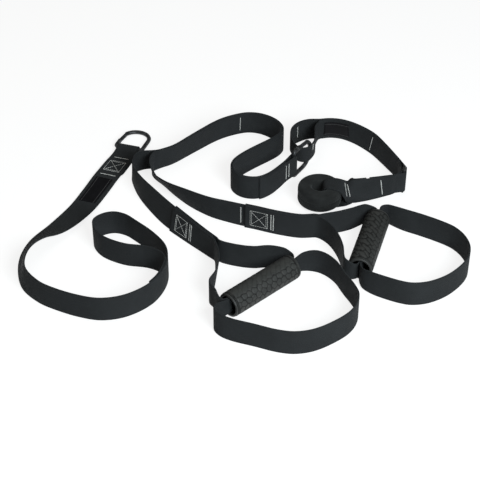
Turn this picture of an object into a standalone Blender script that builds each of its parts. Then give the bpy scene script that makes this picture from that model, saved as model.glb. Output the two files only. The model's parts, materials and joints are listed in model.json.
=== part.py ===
"""Suspension trainer, laid out on the floor as in the photograph, in metres with +Z up.

Webbing is drawn as strips: a row of stations along the strap, each with a centre, the direction
across the strap and the width there. A strip is one quad per step, and Solidify gives it its
thickness. Blender's curves can't turn a flat band on edge and narrow it at one thickness, so the
quads are made by hand. Rods are curves with a round bevel, tubes and rings are Screw profiles.
"""
import math

import bmesh
import bpy
from mathutils import Matrix, Vector

# One square of the grid that every strap is laid out on. Route tables are in squares.
SQUARE_WIDTH = 0.100
# The grid point that becomes the object's origin.
ORIGIN_SHARES = (0.035, 0.209)
# Points closer than this are one point.
MERGE = 0.00001
SEAM_MERGE = 0.00005

# Webbing
WEB_WIDTH = 0.038
WEB_THICK = 0.0018
LAYER_GAP = 0.0005
STEP_LONGEST = 0.012
STEP_SHORTEST = 0.0008
STEP_TURN_DEG = 8.0
LOOSE_TWIST_SHARE = 0.6
TIGHT_TWIST_SHARE = 7.0
FINE = 8
STEEPEST_SHARE = 0.3
EYE_STEPS = 10
EYE_WRAP_DEG = 112.0
EYE_GAP = 0.0004
EYE_SIDE_GAP = 0.0011
END_GAP = 0.006
SPREAD_SHARE = 1.5
BOW_LOOP_WIDTH = 0.026
TAIL_LENGTH = 0.060
RING_TAIL_LENGTH = 0.034
STOP_TAIL_LENGTH = 0.018

# Carabiners
ROD_R = 0.00325
LINK_INSIDE = 0.0356
LINK_CORNER_R = 0.0038
LINK_BOW_V = 0.0282
LINK_LEG_TOP = 0.0181
LINK_STEPS = 16
CORNER_STEPS = 6
NOSE_ANGLE_DEG = 149.0
NOSE_STUB = 0.0016
NOSE_GAP = 0.0005
PIN_V = 0.0145
PIN_R = 0.0010
PIN_GAP = 0.00035
PIN_HOLE_R = PIN_R + PIN_GAP
PIN_HEAD_R = 0.0017
PIN_HEAD_THICK = 0.0006
PIN_HEAD_GAP = 0.0003
PIN_STEPS = 16
SLOT_WIDTH = 0.0026
SLOT_GAP = 0.0003
SLOT_DEPTH = 0.0031
TANG_THICK = SLOT_WIDTH - 2 * SLOT_GAP
TANG_R = 0.0024
FORK_FLAT = 0.0027
GATE_R = 0.0029
GATE_START = 0.0056
GATE_EDGE = 0.0003
GATE_SIDES = 32
HOLE_SIDES = 24

# Handles
GRIP_LENGTH = 0.118
GRIP_R = 0.0175
FIT_GAP = 0.0003
TUBE_R = 0.0146
TUBE_WALL = 0.0012
BORE_R = TUBE_R - TUBE_WALL
SLEEVE_BORE_R = TUBE_R + FIT_GAP
SLEEVE_EDGE = 0.0012
RING_STEP = 0.0007
RING_R = GRIP_R - RING_STEP
RING_THICK = 0.0028
RING_LIP = 0.0008
# The webbing in a grip's bore, as a share of the bore.
BORE_WIDTH_SHARE = 0.94
BORE_WIDTH = 2 * BORE_R * BORE_WIDTH_SHARE
ROUND_STEPS = 40

# Door stop and rectangular ring
STOP_R = 0.032
STOP_HEIGHT = 0.028
STOP_EDGE_R = 0.009
STOP_HOLE_R = 0.0125
STOP_HOLE_EDGE_R = 0.003
STOP_GAP = 0.0004
STOP_WEB_SHARE = 0.8
STOP_WEB_WIDTH = 2 * STOP_HOLE_R * STOP_WEB_SHARE
EDGE_STEPS = 3
EYE_WIDTH = LINK_INSIDE - 2 * EYE_SIDE_GAP
RING_SIDE_GAP = 0.00155
RING_INSIDE = EYE_WIDTH + 2 * RING_SIDE_GAP
RING_BAR_R = 0.0020
RING_PITCH = 0.0105
RING_CORNER_R = 0.0030
RING_CORNER_STEPS = 5

# Labels
LABEL_THICK = 0.0006
LABEL_WIDTH = 0.026
LABEL_GAP = 0.0003

for old in list(bpy.data.objects):
    bpy.data.objects.remove(old)
PART = bpy.data.collections.new("suspension_trainer")
TOOLS = bpy.data.collections.new("cutters")
bpy.context.scene.collection.children.link(PART)
bpy.context.scene.collection.children.link(TOOLS)


# Lower edges of the straps: x and y in squares, the lean in degrees towards the left of the way the
# strap runs, and how far it is raised and pinched towards the eye or hole it runs into.
MAIN_SHARES = [
    (-1.24, 1.745, -11, 0), (-1.03, 1.87, -11, 0), (-0.74, 2.15, -8, 0), (-0.31, 2.55, -5, 0),
    (0.02, 2.715, -5, 0), (0.17, 2.735, -5, 0), (0.34, 2.685, -3, 0), (0.50, 2.56, 0, 0),
    (0.61, 2.41, 0, 0), (0.645, 2.25, 0, 0), (0.58, 2.10, 0, 0), (0.44, 1.96, 0, 0),
    (0.23, 1.78, 0, 0), (0.04, 1.60, 0, 0), (-0.08, 1.44, 0, 0), (-0.12, 1.29, 0, 0),
    (-0.09, 1.16, 0, 0), (0.00, 1.05, 0, 0), (0.12, 0.995, 0, 0), (0.27, 0.995, 0, 0.05),
    (0.42, 1.08, 0, 0.25), (0.55, 1.21, 0, 0.65), (0.66, 1.345, 0, 1),
]
LEG_1_SHARES = [
    (-0.33, -0.44, 0, 0), (-0.52, -0.245, -3, 0), (-0.77, 0.01, -9, 0), (-1.07, 0.34, -15, 0),
    (-1.28, 0.66, -12, 0), (-1.46, 1.00, -5, 0), (-1.565, 1.30, 0, 0), (-1.60, 1.50, -6, 0),
    (-1.55, 1.655, -7, 0), (-1.43, 1.725, -9, 0),
]
LEG_2_SHARES = [
    (1.04, 0.085, 0, 0), (0.84, 0.075, 0, 0), (0.51, 0.16, 0, 0), (0.22, 0.27, 0, 0),
    (0.00, 0.345, 0, 0), (-0.20, 0.43, 2, 0), (-0.40, 0.53, 6, 0), (-0.69, 0.76, 14, 0),
    (-0.95, 1.06, 28, 0), (-1.12, 1.30, 30, 0), (-1.25, 1.46, 14, 0), (-1.305, 1.575, 0, 0),
    (-1.30, 1.67, -7, 0),
]
# Length of a yoke's tail over its leg.
TAIL_SHARE = 1.03
BRANCH_1A_SHARES = [
    (-0.29, -0.47, 0, 0), (-0.20, -0.525, 0, 0), (0.04, -0.60, 0, 0), (0.20, -0.62, 0, 0),
    (0.40, -0.60, 0, 0),
]
BRANCH_1B_SHARES = [
    (-0.335, -0.50, 0, 0), (-0.33, -0.62, 4, 0), (-0.33, -0.84, 8, 0), (-0.36, -1.12, 6, 0),
    (-0.40, -1.34, 0, 0),
]
CRADLE_1_SHARES = [
    (0.84, -0.71, 0, 0.5), (0.99, -0.695, 0, 0.12), (1.12, -0.75, 0, 0), (1.27, -0.92, 0, 0),
    (1.38, -1.18, 0, 0), (1.48, -1.40, 0, 0), (1.53, -1.58, 0, 0), (1.50, -1.76, 0, 0),
    (1.40, -1.94, 0, 0), (1.20, -2.12, 0, 0), (0.93, -2.28, 0, 0), (0.69, -2.33, 0, 0),
    (0.48, -2.30, 0, 0), (0.18, -2.19, 0, 0), (-0.12, -2.08, 0, 0), (-0.26, -1.99, 0, 0),
    (-0.33, -1.88, 0, 0.1), (-0.315, -1.775, 0, 0.4),
]
BRANCH_2A_SHARES = [(1.09, 0.095, 0, 0), (1.20, 0.125, 0, 0), (1.37, 0.17, 0, 0), (1.55, 0.24, 0, 0)]
BRANCH_2B_SHARES = [
    (1.09, 0.05, 0, 0), (1.19, -0.04, 0, 0), (1.27, -0.17, 0, 0), (1.345, -0.38, 0, 0),
    (1.385, -0.60, 0, 0),
]
CRADLE_2_SHARES = [
    (1.99, 0.375, 0, 0.8), (2.07, 0.375, 0, 0.5), (2.16, 0.315, 0, 0.25), (2.29, 0.225, 0, 0.05),
    (2.52, 0.10, 0, 0), (2.75, -0.04, 0, 0), (2.93, -0.18, 0, 0), (3.04, -0.35, 0, 0),
    (3.09, -0.54, 0, 0), (3.08, -0.72, 0, 0), (3.02, -0.88, 0, 0), (2.88, -1.07, 0, 0),
    (2.69, -1.24, 0, 0), (2.45, -1.36, 0, 0), (2.24, -1.385, 0, 0), (2.09, -1.345, 0, 0),
    (1.90, -1.255, 0, 0), (1.74, -1.16, 0, 0.1), (1.635, -1.065, 0, 0.4), (1.605, -0.975, 0, 0.7),
]
# Each grip's middle and the way it points.
GRIP_SHARES = [((0.275, -1.20), 43.3), ((1.77, -0.295), 73.3)]
# How far from a grip's middle the tables take its ends to be.
GRIP_HALF_SHARE = 0.59
# Where a yoke turns back at a grip's mouth: out along the grip, sideways, and how far it is pinched.
MOUTH_SHARES = [
    (0.020, 0.016, 1), (0.048, 0.030, 1), (0.068, 0.055, 0.95), (0.072, 0.095, 0.8),
    (0.060, 0.145, 0.55), (0.037, 0.200, 0.3),
]
BORE_SHARES = (0.9, 0.3, -0.3, -0.9)
EXIT_SHARE = 0.03
ANCHOR_SHARES = [
    (-2.18, 1.51, 90, 1), (-2.30, 1.18, 89, 0.5), (-2.46, 0.78, 86, 0), (-2.70, 0.34, 78, 0),
    (-2.93, -0.03, 60, 0), (-3.02, -0.38, 40, 0), (-3.00, -0.75, 22, 0), (-2.89, -1.08, 9, 0),
    (-2.65, -1.34, 2, 0), (-2.47, -1.455, 0, 0), (-2.11, -1.62, 0, 0), (-1.80, -1.69, 0, 0),
    (-1.48, -1.62, 0, 0), (-1.16, -1.37, 0, 0), (-1.005, -1.06, 0, 0), (-0.97, -0.78, 0, 0),
    (-1.02, -0.56, 0, 0), (-1.20, -0.29, 0, 0), (-1.43, -0.05, 0, 0), (-1.59, 0.10, 0, 0),
    (-1.76, 0.16, 0, 0), (-1.92, 0.11, 0, 0), (-2.02, 0.00, 0, 0), (-2.025, -0.12, 0, 0),
    (-1.97, -0.26, 0, 0), (-1.85, -0.40, 0, 0), (-1.56, -0.555, 0, 0), (-1.27, -0.61, 0, 0),
    (-1.12, -0.68, 0, 0), (-1.035, -0.765, 0, 0),
]
# The rows of the anchor strap that its end is sewn back along.
ANCHOR_SEAM = (13, 14.5)
# Round the bar: how far out from its middle, and up, in radii of the eye.
ANCHOR_EYE_SHARES = (
    (0.0, -1.0), (0.5, -0.866), (0.866, -0.5), (1.0, 0.0), (0.866, 0.5), (0.5, 0.866), (0.0, 1.0),
)
ANCHOR_LEAD_SHARES = (0.09, 0.18, 0.3, 0.45, 0.6, 0.78)
ANCHOR_LABEL_SPAN = (1.62, 2.10)
LINK_1_SHARES = (-1.70, 2.205)
LINK_1_TURN_DEG = -17.5
LINK_2_SHARES = (0.79, 1.50)
LINK_2_TURN_DEG = 58.0
# The door strap's loop through carabiner 2, from the middle of its bow.
BOW_LOOP_SHARES = [
    (0.095, 0.41, 0, 0.2), (0.085, 0.24, 0, 0.6), (0.075, 0.09, 0, 0.95), (0.0428, -0.0156, 0, 1),
    (-0.04, -0.145, 0, 1), (-0.12, -0.165, 0, 1), (-0.185, -0.13, 0, 1), (-0.235, -0.04, 0, 1),
    (-0.275, 0.1, 0, 0.9), (-0.285, 0.25, 0, 0.6), (-0.25, 0.4, 0, 0.25), (-0.15, 0.53, 0, 0.05),
    (-0.01, 0.62, -3, 0),
]
DOOR_SHARES = [
    (1.22, 2.555, -6, 0), (1.38, 2.59, -8, 0), (1.55, 2.565, -8, 0), (1.70, 2.48, -6, 0),
    (1.86, 2.33, -3, 0), (2.02, 2.12, 0, 0.05), (2.15, 1.86, 0, 0.3), (2.25, 1.62, 0, 0.7),
    (2.33, 1.42, 0, 1),
]
DOOR_LABEL_SPAN = (3.54, 3.94)
RING_SHARES = (2.38, 1.16)
RING_TURN_DEG = 262.0
STOP_SHARES = (1.15, 0.90)
RETURN_SHARES = [
    (2.20, 1.02, 0, 1), (2.06, 0.985, -2, 0.6), (1.92, 0.955, -3, 0.2), (1.78, 0.92, -5, 0),
    (1.66, 0.885, -8, 0),
]
# Over the disc, down its hole and back beneath it: out from the disc's middle and across, in radii of
# the disc, the height as a share of the strap's height over the disc, the lean, and how wide from the
# hole's width to the full one.
STOP_PATH_SHARES = [
    (1.375, -0.03, 0.61, -14, 0.85), (1.23, -0.04, 0.60, -32, 0.65), (1.10, -0.05, 0.74, -56, 0.5),
    (0.98, -0.06, 0.88, -75, 0.5), (0.86, -0.05, 0.97, -86, 0.55), (0.74, -0.03, 1.003, -90, 0.6),
    (0.594, -0.01, 1.0, -90, 0.5), (0.437, 0.0, 1.0, -90, 0.25), (0.312, 0.0, 1.0, -90, 0.05),
    (0.225, 0.0, 0.957, -90, 0), (0.178, 0.0, 0.885, -90, 0), (0.166, 0.0, 0.79, -90, 0),
    (0.166, 0.0, 0.506, -90, 0), (0.166, 0.0, 0.221, -90, 0), (0.178, 0.0, 0.142, -90, 0),
    (0.225, 0.0, 0.076, -90, 0), (0.312, 0.0, 0.036, -90, 0.05), (0.469, 0.016, 0.0, -90, 0.35),
    (0.719, 0.062, 0.0, -90, 0.7), (0.937, 0.109, 0.0, -87, 0.7), (1.156, 0.15, 0.0, -68, 0.8),
    (1.375, 0.18, 0.0, -44, 0.95),
]


def own(name, mesh, look, home=PART):
    obj = bpy.data.objects.new(name, mesh)
    home.objects.link(obj)
    if home is TOOLS:
        obj.hide_render = True
        obj.display_type = "WIRE"
    else:
        obj.data.materials.append(look)
    return obj


def paint(name, colour, roughness, metallic=0.0):
    look = bpy.data.materials.new(name)
    look.use_nodes = True
    shader = look.node_tree.nodes["Principled BSDF"]
    shader.inputs["Base Color"].default_value = (*colour, 1.0)
    shader.inputs["Roughness"].default_value = roughness
    shader.inputs["Metallic"].default_value = metallic
    return look


def place(x, y):
    return ((x - ORIGIN_SHARES[0]) * SQUARE_WIDTH, (y - ORIGIN_SHARES[1]) * SQUARE_WIDTH)


def row(x, y, lean=0.0, lift=0.0, width=WEB_WIDTH):
    return [x, y, lean, lift, width]


def rows_from(table, lift=0.0, width=WEB_WIDTH):
    return [
        row(*place(x, y), lean, lift * pinch, WEB_WIDTH + (width - WEB_WIDTH) * pinch)
        for x, y, lean, pinch in table
    ]


def carried(rows, start, stop):
    """The same rows, moved along with what their ends run to."""
    out = []
    for i, r in enumerate(rows):
        by = start.lerp(stop, i / (len(rows) - 1))
        out.append([r[0] + by.x, r[1] + by.y, *r[2:]])
    return out


def turned(rows):
    """The same strap, run the other way: what leaned left now leans right."""
    return [[r[0], r[1], -r[2], r[3], r[4]] for r in reversed(rows)]


def smooth(rows, per_span, closed=False, places=2):
    """Points of a centripetal Catmull-Rom curve through every row, all columns alike. The first
    columns are the position that sets the pace."""
    count = len(rows)
    spans = count if closed else count - 1
    dense = []
    for i in range(spans):
        if closed:
            a, b, c, d = (rows[(i + k - 1) % count] for k in range(4))
        else:
            b, c = rows[i], rows[i + 1]
            a = rows[i - 1] if i else [2 * p - q for p, q in zip(b, c)]
            d = rows[i + 2] if i + 2 < count else [2 * p - q for p, q in zip(c, b)]
        ta = 0.0
        tb = ta + math.dist(a[:places], b[:places]) ** 0.5
        tc = tb + math.dist(b[:places], c[:places]) ** 0.5
        td = tc + math.dist(c[:places], d[:places]) ** 0.5
        for k in range(per_span):
            t = tb + (tc - tb) * k / per_span
            mixed = []
            for p, q, r, s in zip(a, b, c, d):
                pq = p + (q - p) * (t - ta) / (tb - ta)
                qr = q + (r - q) * (t - tb) / (tc - tb)
                rs = r + (s - r) * (t - tc) / (td - tc)
                pqr = pq + (qr - pq) * (t - ta) / (tc - ta)
                qrs = qr + (rs - qr) * (t - tb) / (td - tb)
                mixed.append(pqr + (qrs - pqr) * (t - tb) / (tc - tb))
            dense.append(mixed)
    if not closed:
        dense.append(list(rows[-1]))
    return dense


def heading(rows, i, closed=False):
    count = len(rows)
    if closed:
        a, b = rows[(i - 1) % count], rows[(i + 1) % count]
    else:
        a, b = rows[max(i - 1, 0)], rows[min(i + 1, count - 1)]
    return Vector((b[0] - a[0], b[1] - a[1], 0.0)).normalized()


def shifted(rows, by, closed=False):
    """The layer that lies beside these rows, by metres to the left of the way they run."""
    out = []
    for i, r in enumerate(rows):
        t = heading(rows, i, closed)
        side = by / max(math.cos(math.radians(r[2])), STEEPEST_SHARE)
        out.append([r[0] - t.y * side, r[1] + t.x * side, *r[2:]])
    return out


def lane(rows, by):
    """Rows of the layer beside a strap, three to each of its spans."""
    return shifted(smooth(rows, 3 * FINE), by)[::FINE]


def first(rows, length):
    """The rows up to this length along the strap."""
    out = [rows[0]]
    walked = 0.0
    for a, b in zip(rows, rows[1:]):
        walked += math.dist(a[:2], b[:2])
        if walked > length:
            break
        out.append(b)
    return out


def beyond(rows, gap):
    """The same strap, cut this much shorter at its start."""
    share = gap / math.dist(rows[0][:2], rows[1][:2])
    return [[p + (q - p) * share for p, q in zip(rows[0], rows[1])]] + rows[1:]


def stations(rows, closed=False):
    """Centre, across direction and width of every row of a strap whose lower edge is on the floor."""
    out = []
    for i, r in enumerate(rows):
        t = heading(rows, i, closed)
        lean = math.radians(r[2])
        left = Vector((-t.y, t.x, 0.0))
        across = Vector((0.0, 0.0, math.cos(lean))) + left * math.sin(lean)
        low = Vector((r[0], r[1], max(r[3], 0.0) + WEB_THICK / 2 * abs(math.sin(lean))))
        out.append((low + across * (r[4] / 2), across, r[4]))
    return out


def thinned(line, closed=False, twist=LOOSE_TWIST_SHARE):
    """Drops stations until each step is a short length or a small turn. A strap that lies against
    another while it leans over takes shorter steps, because a twisted step is not flat."""
    kept = [line[0]]
    walked = 0.0
    bent = 0.0
    last = None
    for i in range(1, len(line)):
        step = line[i][0] - line[i - 1][0]
        if step.length < MERGE:
            continue
        if last is not None:
            bent += step.angle(last)
            bent += line[i][1].angle(line[i - 1][1]) * twist
        last = step
        walked += step.length
        if i + 1 < len(line):
            ahead = line[i + 1][0] - line[i][0]
            more = ahead.angle(step) if ahead.length > MERGE else 0.0
            if walked + ahead.length > STEP_LONGEST or bent + more > math.radians(STEP_TURN_DEG):
                kept.append(line[i])
                walked = 0.0
                bent = 0.0
    if not closed:
        kept.append(line[-1])
    return kept


def depth(across, width):
    """How far a band reaches below its centre line."""
    return abs(across.z) * width / 2 + math.sqrt(max(1.0 - across.z**2, 0.0)) * WEB_THICK / 2


def spun(line):
    """Stations of a smooth curve through these stations, none of it below the floor."""
    rows = [[*centre, *across, width] for centre, across, width in line]
    kept = [rows[0]]
    for r in rows[1:]:
        if math.dist(r[:3], kept[-1][:3]) > STEP_SHORTEST:
            kept.append(r)
    out = []
    for r in smooth(kept, FINE // 2, places=3):
        centre, across, width = Vector(r[:3]), Vector(r[3:6]).normalized(), r[6]
        centre.z = max(centre.z, depth(across, width))
        out.append((centre, across, width))
    return out


def patch(line, start, stop, side):
    """Stations of a label on one face of a strap, between two lengths along it, in squares."""
    raised = (WEB_THICK / 2 + LABEL_GAP + LABEL_THICK / 2) * side
    lifted = []
    for i, (centre, across, _) in enumerate(line):
        way = line[min(i + 1, len(line) - 1)][0] - line[max(i - 1, 0)][0]
        lifted.append(centre + way.cross(across).normalized() * raised)
    out = []
    walked = 0.0
    for i in range(len(line) - 1):
        step = (line[i + 1][0] - line[i][0]).length
        for end in (start * SQUARE_WIDTH, stop * SQUARE_WIDTH):
            share = (end - walked) / step
            if 0.0 < share < 1.0:
                across = line[i][1].lerp(line[i + 1][1], share).normalized()
                out.append((lifted[i].lerp(lifted[i + 1], share), across, LABEL_WIDTH))
        walked += step
        if start * SQUARE_WIDTH < walked < stop * SQUARE_WIDTH:
            out.append((lifted[i + 1], line[i + 1][1], LABEL_WIDTH))
    return out


def strap(name, line, look, thick=WEB_THICK, closed=False):
    """A strip of webbing or tape through these stations."""
    bm = bmesh.new()
    rails = []
    for centre, across, width in line:
        half = across * (width / 2)
        rails.append((bm.verts.new(centre - half), bm.verts.new(centre + half)))
    pairs = list(zip(rails, rails[1:] + rails[:1])) if closed else list(zip(rails, rails[1:]))
    for a, b in pairs:
        bm.faces.new((a[0], b[0], b[1], a[1]))
    mesh = bpy.data.meshes.new(name)
    bm.to_mesh(mesh)
    bm.free()
    mesh.polygons.foreach_set("use_smooth", [True] * len(mesh.polygons))
    obj = own(name, mesh, look)
    body = obj.modifiers.new("Thickness", "SOLIDIFY")
    body.thickness = thick
    body.offset = 0.0
    body.use_even_offset = True
    return obj


def circle_rows(centre, radius, start, stop, lift, width):
    out = []
    for k in range(EYE_STEPS + 1):
        a = start + (stop - start) * k / EYE_STEPS
        x = centre[0] + radius * math.cos(a)
        y = centre[1] + radius * math.sin(a)
        out.append(row(x, y, 0.0, lift, width))
    return out


def rod(name, points, radius, look, closed=False):
    curve = bpy.data.curves.new(name, "CURVE")
    curve.dimensions = "3D"
    spline = curve.splines.new("POLY")
    spline.points.add(len(points) - 1)
    for point, at in zip(spline.points, points):
        point.co = (*at, 1.0)
    spline.use_cyclic_u = closed
    curve.bevel_depth = radius
    curve.bevel_resolution = 2
    curve.use_fill_caps = not closed
    shape = bpy.data.objects.new(name + "_curve", curve)
    bpy.context.scene.collection.objects.link(shape)
    bpy.context.view_layer.update()
    mesh = bpy.data.meshes.new_from_object(shape.evaluated_get(bpy.context.evaluated_depsgraph_get()))
    bpy.data.objects.remove(shape)
    bpy.data.curves.remove(curve)
    bm = bmesh.new()
    bm.from_mesh(mesh)
    bmesh.ops.remove_doubles(bm, verts=bm.verts, dist=MERGE)
    bm.to_mesh(mesh)
    bm.free()
    mesh.materials.clear()
    mesh.polygons.foreach_set("use_smooth", [True] * len(mesh.polygons))
    return own(name, mesh, look)


def screw(name, profile, look, home=PART, steps=ROUND_STEPS):
    """A closed profile of (radius, height), outer side first from the top, turned about Z."""
    bm = bmesh.new()
    verts = [bm.verts.new((r, 0.0, z)) for r, z in profile]
    for a, b in zip(verts, verts[1:] + verts[:1]):
        bm.edges.new((a, b))
    mesh = bpy.data.meshes.new(name)
    bm.to_mesh(mesh)
    bm.free()
    obj = own(name, mesh, look, home)
    turn = obj.modifiers.new("Screw", "SCREW")
    turn.steps = steps
    turn.render_steps = steps
    turn.use_merge_vertices = True
    turn.merge_threshold = SEAM_MERGE
    turn.use_smooth_shade = True
    return obj


def cylinder(name, radius, depth, look, home=PART, segments=HOLE_SIDES):
    bm = bmesh.new()
    bmesh.ops.create_cone(
        bm, cap_ends=True, segments=segments, radius1=radius, radius2=radius, depth=depth
    )
    mesh = bpy.data.meshes.new(name)
    bm.to_mesh(mesh)
    bm.free()
    mesh.polygons.foreach_set("use_smooth", [len(p.vertices) == 4 for p in mesh.polygons])
    return own(name, mesh, look, home)


def box(name, size, look, home=PART):
    bm = bmesh.new()
    bmesh.ops.create_cube(bm, size=1.0, matrix=Matrix.Diagonal((*size, 1.0)))
    mesh = bpy.data.meshes.new(name)
    bm.to_mesh(mesh)
    bm.free()
    return own(name, mesh, look, home)


def cut(obj, *cutters):
    for cutter in cutters:
        hole = obj.modifiers.new("Cut", "BOOLEAN")
        hole.operation = "DIFFERENCE"
        hole.solver = "EXACT"
        hole.object = cutter


def weld(obj, *others):
    for other in others:
        join = obj.modifiers.new("Join", "BOOLEAN")
        join.operation = "UNION"
        join.solver = "EXACT"
        join.object = other


def set_frame(obj, frame, local=None):
    obj.matrix_world = frame @ (local if local is not None else Matrix.Identity(4))


def pivot(name, at, *pieces):
    """An empty on the axis that these pieces turn or slide along."""
    empty = bpy.data.objects.new(name, None)
    PART.objects.link(empty)
    empty.location = at
    for piece in pieces:
        piece.parent = empty
        piece.matrix_parent_inverse = Matrix.Translation(-Vector(at))


# A carabiner: a round rod bent into a D, with a sprung gate in one side. It is drawn in its own plane,
# with the base bar along X through the origin and the bow towards +Y.
def link(tag, frame, metal, gate_metal, dark):
    side = LINK_INSIDE / 2 + ROD_R
    path = [(-side, LINK_LEG_TOP, 0.0)]
    for k in range(CORNER_STEPS + 1):
        a = math.pi + math.pi / 2 * k / CORNER_STEPS
        path.append((-side + LINK_CORNER_R * (1 + math.cos(a)), LINK_CORNER_R * (1 + math.sin(a)), 0.0))
    for k in range(CORNER_STEPS + 1):
        a = -math.pi / 2 + math.pi / 2 * k / CORNER_STEPS
        path.append((side - LINK_CORNER_R * (1 - math.cos(a)), LINK_CORNER_R * (1 + math.sin(a)), 0.0))
    pin = Vector((-side, PIN_V, 0.0))
    nose_turn = math.radians(NOSE_ANGLE_DEG)
    for k in range(LINK_STEPS + 1):
        a = nose_turn * k / LINK_STEPS
        path.append((side * math.cos(a), LINK_BOW_V + side * math.sin(a), 0.0))
    nose = Vector(path[-1])
    aim = (nose - pin).normalized()
    path.append(tuple(nose - aim * NOSE_STUB))
    reach = (nose - aim * NOSE_STUB - pin).length
    body = rod(f"{tag}_frame", path, ROD_R, metal)
    set_frame(body, frame)
    at_pin = Matrix.Translation(pin)
    slot_tall = PIN_V
    slot = box(f"{tag}_slot", (ROD_R * 4, slot_tall, SLOT_WIDTH), None, TOOLS)
    set_frame(slot, frame, at_pin @ Matrix.Translation((0.0, slot_tall / 2 - SLOT_DEPTH, 0.0)))
    hole = cylinder(f"{tag}_pin_hole", PIN_HOLE_R, ROD_R * 4, None, TOOLS)
    set_frame(hole, frame, at_pin)
    flats = []
    for sign, word in ((1, "front"), (-1, "back")):
        flat = box(f"{tag}_flat_{word}", (ROD_R * 4, PIN_V, ROD_R), None, TOOLS)
        shift = Vector((0.0, PIN_V / 2 - SLOT_DEPTH * 1.2, sign * (FORK_FLAT + ROD_R / 2)))
        set_frame(flat, frame, at_pin @ Matrix.Translation(shift))
        flats.append(flat)
    cut(body, slot, hole, *flats)
    # The gate's own frame: origin on the pin, +Y towards the nose.
    slant = math.atan2(aim.y, aim.x) - math.pi / 2
    gate_frame = frame @ at_pin @ Matrix.Rotation(slant, 4, "Z")
    end = reach - NOSE_GAP
    gate = cylinder(f"{tag}_gate", GATE_R, end - GATE_START, gate_metal, segments=GATE_SIDES)
    upright = Matrix.Rotation(-math.pi / 2, 4, "X")
    set_frame(gate, gate_frame, Matrix.Translation((0.0, (end + GATE_START) / 2, 0.0)) @ upright)
    tang = box(f"{tag}_tang", (TANG_R * 2, GATE_START * 1.5, TANG_THICK), None, TOOLS)
    set_frame(tang, gate_frame, Matrix.Translation((0.0, GATE_START * 0.75, 0.0)))
    knuckle = cylinder(f"{tag}_knuckle", TANG_R, TANG_THICK, None, TOOLS)
    set_frame(knuckle, gate_frame)
    gate_hole = cylinder(f"{tag}_gate_hole", PIN_HOLE_R, ROD_R * 4, None, TOOLS)
    set_frame(gate_hole, gate_frame)
    weld(gate, tang, knuckle)
    cut(gate, gate_hole)
    bevel = gate.modifiers.new("Soft edge", "BEVEL")
    bevel.width = GATE_EDGE
    bevel.segments = 1
    bevel.limit_method = "ANGLE"
    bevel.angle_limit = math.radians(60)
    under_head = FORK_FLAT + PIN_HEAD_GAP
    half_pin = [
        (0.0, under_head + PIN_HEAD_THICK), (PIN_HEAD_R * 0.7, under_head + PIN_HEAD_THICK),
        (PIN_HEAD_R, under_head + PIN_HEAD_THICK / 2), (PIN_HEAD_R, under_head), (PIN_R, under_head),
    ]
    rivet = screw(f"{tag}_pin", half_pin + [(r, -z) for r, z in reversed(half_pin)], dark, steps=PIN_STEPS)
    set_frame(rivet, frame, at_pin)
    pivot(f"{tag}_gate_pivot", frame @ pin, gate)


def grip(tag, centre, turn_deg, rubber, plastic, trim):
    lie = Matrix.Translation((*centre, GRIP_R)) @ Matrix.Rotation(math.radians(turn_deg), 4, "Z")
    lie = lie @ Matrix.Rotation(math.pi / 2, 4, "Y")
    half = GRIP_LENGTH / 2
    inner = half - RING_THICK - LAYER_GAP
    edge = SLEEVE_EDGE
    sleeve = screw(
        f"{tag}_sleeve",
        [
            (GRIP_R - edge, inner), (GRIP_R, inner - edge), (GRIP_R, edge - inner), (GRIP_R - edge, -inner),
            (SLEEVE_BORE_R, -inner), (SLEEVE_BORE_R, inner),
        ],
        rubber,
    )
    set_frame(sleeve, lie)
    tube = screw(
        f"{tag}_tube",
        [
            (TUBE_R, inner), (TUBE_R, -inner), (BORE_R, -inner), (BORE_R, inner),
        ],
        plastic,
    )
    set_frame(tube, lie)
    for sign, word, look in ((1, "far", trim[0]), (-1, "near", trim[1])):
        ring = screw(
            f"{tag}_ring_{word}",
            [
                (RING_R - RING_LIP, half), (RING_R, half - RING_LIP), (RING_R, inner + LAYER_GAP),
                (BORE_R, inner + LAYER_GAP), (BORE_R, half - RING_LIP), (BORE_R + RING_LIP, half),
            ],
            look,
        )
        flip = Matrix.Identity(4) if sign > 0 else Matrix.Rotation(math.pi, 4, "X")
        set_frame(ring, lie, flip)


def bore_row(centre, turn_deg, along, sideways):
    """A row inside or just outside a grip: along it from its middle, and sideways to its left."""
    a = math.radians(turn_deg)
    x = centre[0] + along * math.cos(a) - sideways * math.sin(a)
    y = centre[1] + along * math.sin(a) + sideways * math.cos(a)
    return row(x, y, 0.0, GRIP_R - BORE_WIDTH / 2, BORE_WIDTH)


def mouth_rows(centre, turn_deg, end, side):
    """From inside the bore round the mouth and back beside the ring, on the given side."""
    out = []
    layer = (WEB_THICK + LAYER_GAP) / 2
    for along, sideways, pinch in MOUTH_SHARES:
        shift = side * max(sideways * SQUARE_WIDTH, layer)
        r = bore_row(centre, turn_deg, end * (GRIP_LENGTH / 2 + along * SQUARE_WIDTH), shift)
        r[3] *= pinch
        r[4] = WEB_WIDTH + (BORE_WIDTH - WEB_WIDTH) * pinch
        out.append(r)
    return out


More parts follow.
